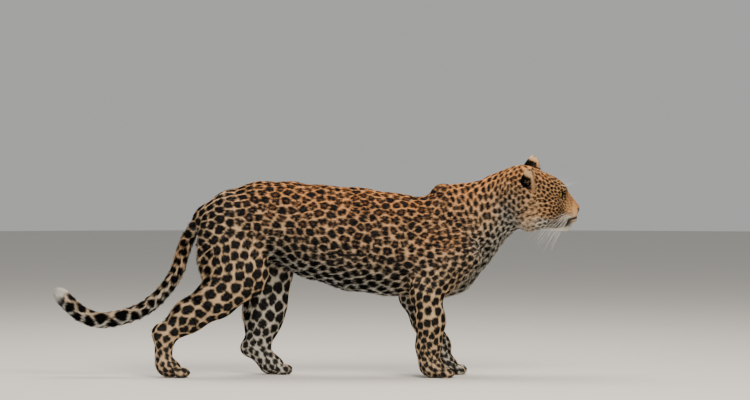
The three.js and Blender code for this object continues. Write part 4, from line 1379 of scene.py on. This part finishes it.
def coat_sizes(p, n, weight):
    """Length, width and lift of the tufts at each point, in mm and radians.

    9.8 mm on the body, 7.5 on legs and head, 4.5 on the paws, 4.2 on the muzzle, and longer on
    the tail and under the belly.
    """
    legs, tail = on_legs(weight), weight[:, ON_TAIL]
    under = (1 - step(-0.8, -0.2, n[:, 2])) * weight[:, TORSO]
    muzzle = near_muzzle(to_head(p), 40, 120)
    length = 9.8 - 2.3 * legs - 2.3 * weight[:, HEAD]
    length -= 3.0 * legs * (1 - step(40, 180, p[:, 2]))
    length = length * (1 - muzzle) + 4.2 * muzzle + 3.0 * tail + 5.0 * under
    return length, 0.13 * length + 0.35, 0.16 + 0.10 * under + 0.12 * tail - 0.03 * legs


TUFTS = 300000
MOST = 48000  # tufts in one piece
EYE_FRONT = np.array([44, 40, 41.0])  # the eye's open part, on the left
# tufts stand closer on the head and legs, and closest on the muzzle; none on nose, eyes or soles
fine = 1 + 2.2 * skin_weight[:, HEAD] + 0.5 * on_legs(skin_weight)
skin_q = to_head(skin_points)
folded = np.stack([skin_q[:, 0], np.abs(skin_q[:, 1]), skin_q[:, 2]], 1)
fine *= 1 + 1.2 * near_muzzle(skin_q, 40, 100)
fine *= 1 - step(0.2, 0.6, bare)
fine *= step(9, 15, np.linalg.norm(folded - EYE_FRONT, axis=1))
fine *= skin_points[:, 2] > SOLE + 2
root, normal = scatter(TUFTS, fine)
weight, lie, part, share, angle = body_map(root)
length, width, lift = coat_sizes(root, normal, weight)
for k, part_name in enumerate(PARTS):
    members = np.flatnonzero(part == k)
    members = members[np.argsort(root[members, 0])]
    groups = np.array_split(members, math.ceil(len(members) / MOST))
    for number, g in enumerate(groups, 1):
        paint = painter(normal[g], weight[g])
        made = tufts(root[g], normal[g], lie[g], length[g], width[g], lift[g], paint)
        coat_piece(f"coat_{part_name}_{number}", made, part[g], share[g], angle[g])


# Longer locks under the belly, on the breast, on the tail, on the cheeks and behind the thighs


def long_hair(place, count, density, length, width, lift, droop):
    """Locks of one place: roots by density, colours from the same markings."""
    root, normal = scatter(int(count * many), density)
    weight, lie, part, share, angle = body_map(root)
    sizes = (np.full(len(root), float(size)) for size in (length, width, lift))
    made = locks(root, normal, lie, *sizes, painter(normal, weight), droop)
    coat_piece(f"coat_{place}_locks", made, part, share, angle)


many = 1.0
x, z = skin_points[:, 0], skin_points[:, 2]
under = (1 - step(-0.75, -0.3, skin_normals[:, 2])) * skin_weight[:, TORSO]
breast = step(0.2, 0.7, skin_normals[:, 0]) * step(380, 450, x) * (1 - step(420, 520, z))
breast *= 1 - on_legs(skin_weight)
cheek = mound(skin_q[:, 0], skin_q[:, 2], (-45, -50), (28, 40)) * step(20, 40, folded[:, 1])
behind = step(0.2, 0.7, -skin_normals[:, 0]) * skin_weight[:, HIND].sum(1) * step(170, 260, z)
long_hair("belly", 8000, under + breast, 19, 2.2, 0.36, 0.25)
long_hair("tail", 9000, skin_weight[:, ON_TAIL], 19, 2.2, 0.42, 0.0)
long_hair("cheek", 3500, cheek * skin_weight[:, HEAD], 18, 1.7, 0.35, 0.1)
long_hair("thigh", 3000, behind, 20, 2.0, 0.4, 0.1)


# Fur of the ears


def ear_fur(name, ear):
    """Tufts over both faces of one ear, and long pale hairs in its opening."""
    count = 7000
    v = 1 - (1 - RNG.random(count)) ** 0.8
    u = RNG.uniform(-1, 1, count)
    is_back = RNG.random(count) < 0.55
    thick = np.where(is_back, ear_wall(v), 0)
    e = 1e-2  # the step over which the sheet's slopes are taken, backwards near the tip
    away = np.where(v > 0.9, -1, 1)
    at = ear_points(ear, u, v, thick)
    du = ear_points(ear, u + e, v, thick) - at
    dv = (ear_points(ear, u, v + e * away, thick) - at) * away[:, None]
    front_normal = unit(np.cross(du, dv))
    turn, _ = ear_frame(ear)
    forward = (turn @ np.array([1.0, 0, 0])) @ HEAD_TURN.T
    front_normal *= np.sign(np.median(front_normal @ forward))
    back = is_back[:, None]
    normal = np.where(back, -front_normal, front_normal)
    lie = unit(dv) + unit(du) * (u * 0.5)[:, None]
    # the tufts inside the cup are darker towards its middle, painted shade in the hollow, and pale at
    # its edges
    inside = blended(np.tile(linear("#6b4c36"), (count, 1)), EAR_PALE, step(0.35, 0.8, np.abs(u)))
    colour = np.where(back, ear_back_colour(u, v), inside)
    sizes = np.where(is_back, 6.0, 9.0), np.full(count, 1.3), np.where(is_back, 0.16, 0.4)
    made = tufts(at, normal, lie, *sizes, lambda p: colour)
    coat_piece(name, made, is_back, v, (u + 1) / 2)
    # the long hairs stand on the inner edge and the floor of the cup
    count = count // 6
    v = RNG.uniform(0.02, 0.5, count)
    on_edge = RNG.random(count) < 0.7
    edge = -ear["side"] * RNG.uniform(0.45, 0.95, count)
    u = np.where(on_edge, edge, RNG.uniform(-0.9, 0.9, count))
    at = ear_points(ear, u, v, 0 * v)
    up = turn @ np.array([0.1, 0, 1.0]) @ HEAD_TURN.T
    normal = np.tile(unit(forward), (count, 1))
    lie = up + 0.35 * RNG.normal(0, 1, (count, 3))
    long_colour = blended(np.tile(linear("#b98f66"), (count, 1)), "#d9cbb2", RNG.random(count))
    sizes = (np.full(count, size) for size in (20.0, 1.3, 0.45))
    made = locks(at, normal, lie, *sizes, lambda p: long_colour)
    coat_piece(name + "_inside", made, 0 * v, v, (u + 1) / 2)


for which, ear in EARS.items():
    ear_fur("coat_ear_" + which, ear)


# Whiskers


def whisker_set(name, roots, ways, lengths, radius, sag):
    """Tapered tubes, five-sided, each on a bent line: root + way t L, less sag t^2 L downwards.

    The tube's radius goes from the whole at the root to 0.15 of it at the tip.
    """
    t = np.linspace(0, 1, 10)
    sides = 5
    turn = np.arange(sides)[None, :, None] * 2 * math.pi / sides
    i, j = np.meshgrid(np.arange(len(t) - 1), np.arange(sides), indexing="ij")
    p0 = (i * sides + j).ravel()
    p1 = (i * sides + (j + 1) % sides).ravel()
    caps = np.array([[0, 2, 1], [0, 3, 2], [0, 4, 3]])
    tube = [np.stack([p0, p1, p1 + sides], 1), np.stack([p0, p1 + sides, p0 + sides], 1)]
    tube = np.vstack(tube + [caps, caps[:, ::-1] + (len(t) - 1) * sides])
    all_points, all_faces = [], []
    for k, (r, way, length) in enumerate(zip(roots, ways, lengths)):
        line = r + unit(way) * (t * length)[:, None]
        line[:, 2] -= sag * length * t**2
        tangent = unit(np.gradient(line, axis=0))
        a = unit(np.cross(tangent, (0, 0, 1.0)))
        b = np.cross(tangent, a)
        size = (radius * (1 - 0.85 * t))[:, None, None]
        ring = line[:, None] + size * (a[:, None] * np.cos(turn) + b[:, None] * np.sin(turn))
        all_points.append(ring.reshape(-1, 3))
        all_faces.append(tube + k * len(t) * sides)
    make_piece(name, np.vstack(all_points), np.vstack(all_faces), WHISKER)


# Whiskers: stiff white hairs with a satin surface, a little grey in places
WHISKER = mottled_material("white_whisker", 300.0, linear("#cfcac0"), linear("#f2efe8"), 0.45)
for side, which in ((1, "left"), (-1, "right")):
    roots, ways, lengths = [], [], []
    for row in range(4):
        for column in range(4):
            x = 94 - 9.0 * column - 2 * row
            roots.append((x, side * (36 - 0.25 * abs(x - 82)), -17 - 6.5 * row))
            out, down = 0.62 - 0.1 * row, 0.30 + 0.20 * row - 0.1 * column
            ways.append(HEAD_TURN @ np.array((-0.62 - 0.1 * column, side * out, -down)))
            lengths.append(142 - 14 * abs(column - 1.6) - 8 * row + RNG.uniform(-12, 12))
    whisker_set("whiskers_" + which, from_head(roots), ways, lengths, 0.6, 0.30)
    roots, ways, lengths = [], [], []
    for k in range(5):
        roots.append((50 - 5 * k, side * (26 + 2 * k), 66 - k))
        ways.append(HEAD_TURN @ np.array((0.75 - 0.16 * k, side * (0.35 + 0.08 * k), 0.62)))
        lengths.append(58 - 5 * k)
    whisker_set("brow_whiskers_" + which, from_head(roots), ways, lengths, 0.4, 0.05)


# Floor, light and camera


# Studio paper: pale and matt, with a faint mottling
paper = linear("#cfccc6")
PAPER = mottled_material("studio_paper", 3.0, paper * 0.97, paper * 1.02, 0.9)
FLOOR_RADIUS, FLOOR_SIDES = 14.0, 96
turn = np.linspace(0, 2 * math.pi, FLOOR_SIDES, endpoint=False)
floor_mesh = bpy.data.meshes.new("floor")
floor_points = np.stack([np.cos(turn), np.sin(turn), 0 * turn], 1) * FLOOR_RADIUS
floor_mesh.from_pydata(floor_points.tolist(), [], [list(range(FLOOR_SIDES))])
floor_mesh.materials.append(PAPER)
floor = bpy.data.objects.new("floor", floor_mesh)
bpy.context.scene.collection.objects.link(floor)

world = bpy.data.worlds.new("studio")
world.use_nodes = True
world.node_tree.nodes["Background"].inputs["Color"].default_value = (*linear("#dcdcda"), 1)
world.node_tree.nodes["Background"].inputs["Strength"].default_value = 0.6
bpy.context.scene.world = world


def look(way):
    """The turn that points an object's -Z along a way, with its top upwards."""
    x, y, z = way
    return (math.pi / 2 + math.atan2(z, math.hypot(x, y)), 0, math.atan2(y, x) - math.pi / 2)


def area_light(name, at, towards, size, watts, hex_colour):
    """A soft square lamp that faces a point."""
    data = bpy.data.lights.new(name, "AREA")
    data.size = size
    data.energy = watts
    data.color = linear(hex_colour)
    lamp = bpy.data.objects.new(name, data)
    lamp.location = at
    lamp.rotation_euler = look(np.subtract(towards, at))
    bpy.context.scene.collection.objects.link(lamp)


area_light("key", (1.4, -2.9, 3.3), (0.0, 0.0, 0.35), 2.2, 235, "#fff3e4")
area_light("top", (-0.3, 0.9, 3.8), (0.0, 0.0, 0.4), 2.2, 150, "#fff6ea")
area_light("fill", (-3.2, -3.4, 1.4), (0.0, 0.0, 0.4), 3.0, 60, "#f2f4ff")

PIXEL = 3.3  # mm to each pixel of the photograph
PHOTO_WIDTH, PHOTO_HEIGHT = 750, 400
ORIGIN_X, FLOOR_Y = 316.5, 377  # the photograph's pixel at the origin of the frame of making
CAMERA_AWAY = 12000.0
CAMERA_RISE = 1.5  # degrees above the horizon
SENSOR = 36
across, up = PHOTO_WIDTH / 2 - ORIGIN_X, FLOOR_Y - PHOTO_HEIGHT / 2
aim = np.array([across * PIXEL, 0, up * PIXEL]) + SHIFT
rise = math.radians(CAMERA_RISE)
away = np.array([0, -math.cos(rise), math.sin(rise)]) * CAMERA_AWAY
camera_data = bpy.data.cameras.new("camera")
camera_data.sensor_width = SENSOR
camera_data.lens = SENSOR * CAMERA_AWAY / (PHOTO_WIDTH * PIXEL)
camera_data.clip_end = 100
camera = bpy.data.objects.new("camera", camera_data)
camera.location = (aim + away) / 1000
camera.rotation_euler = look(-away)
bpy.context.scene.collection.objects.link(camera)
bpy.context.scene.camera = camera
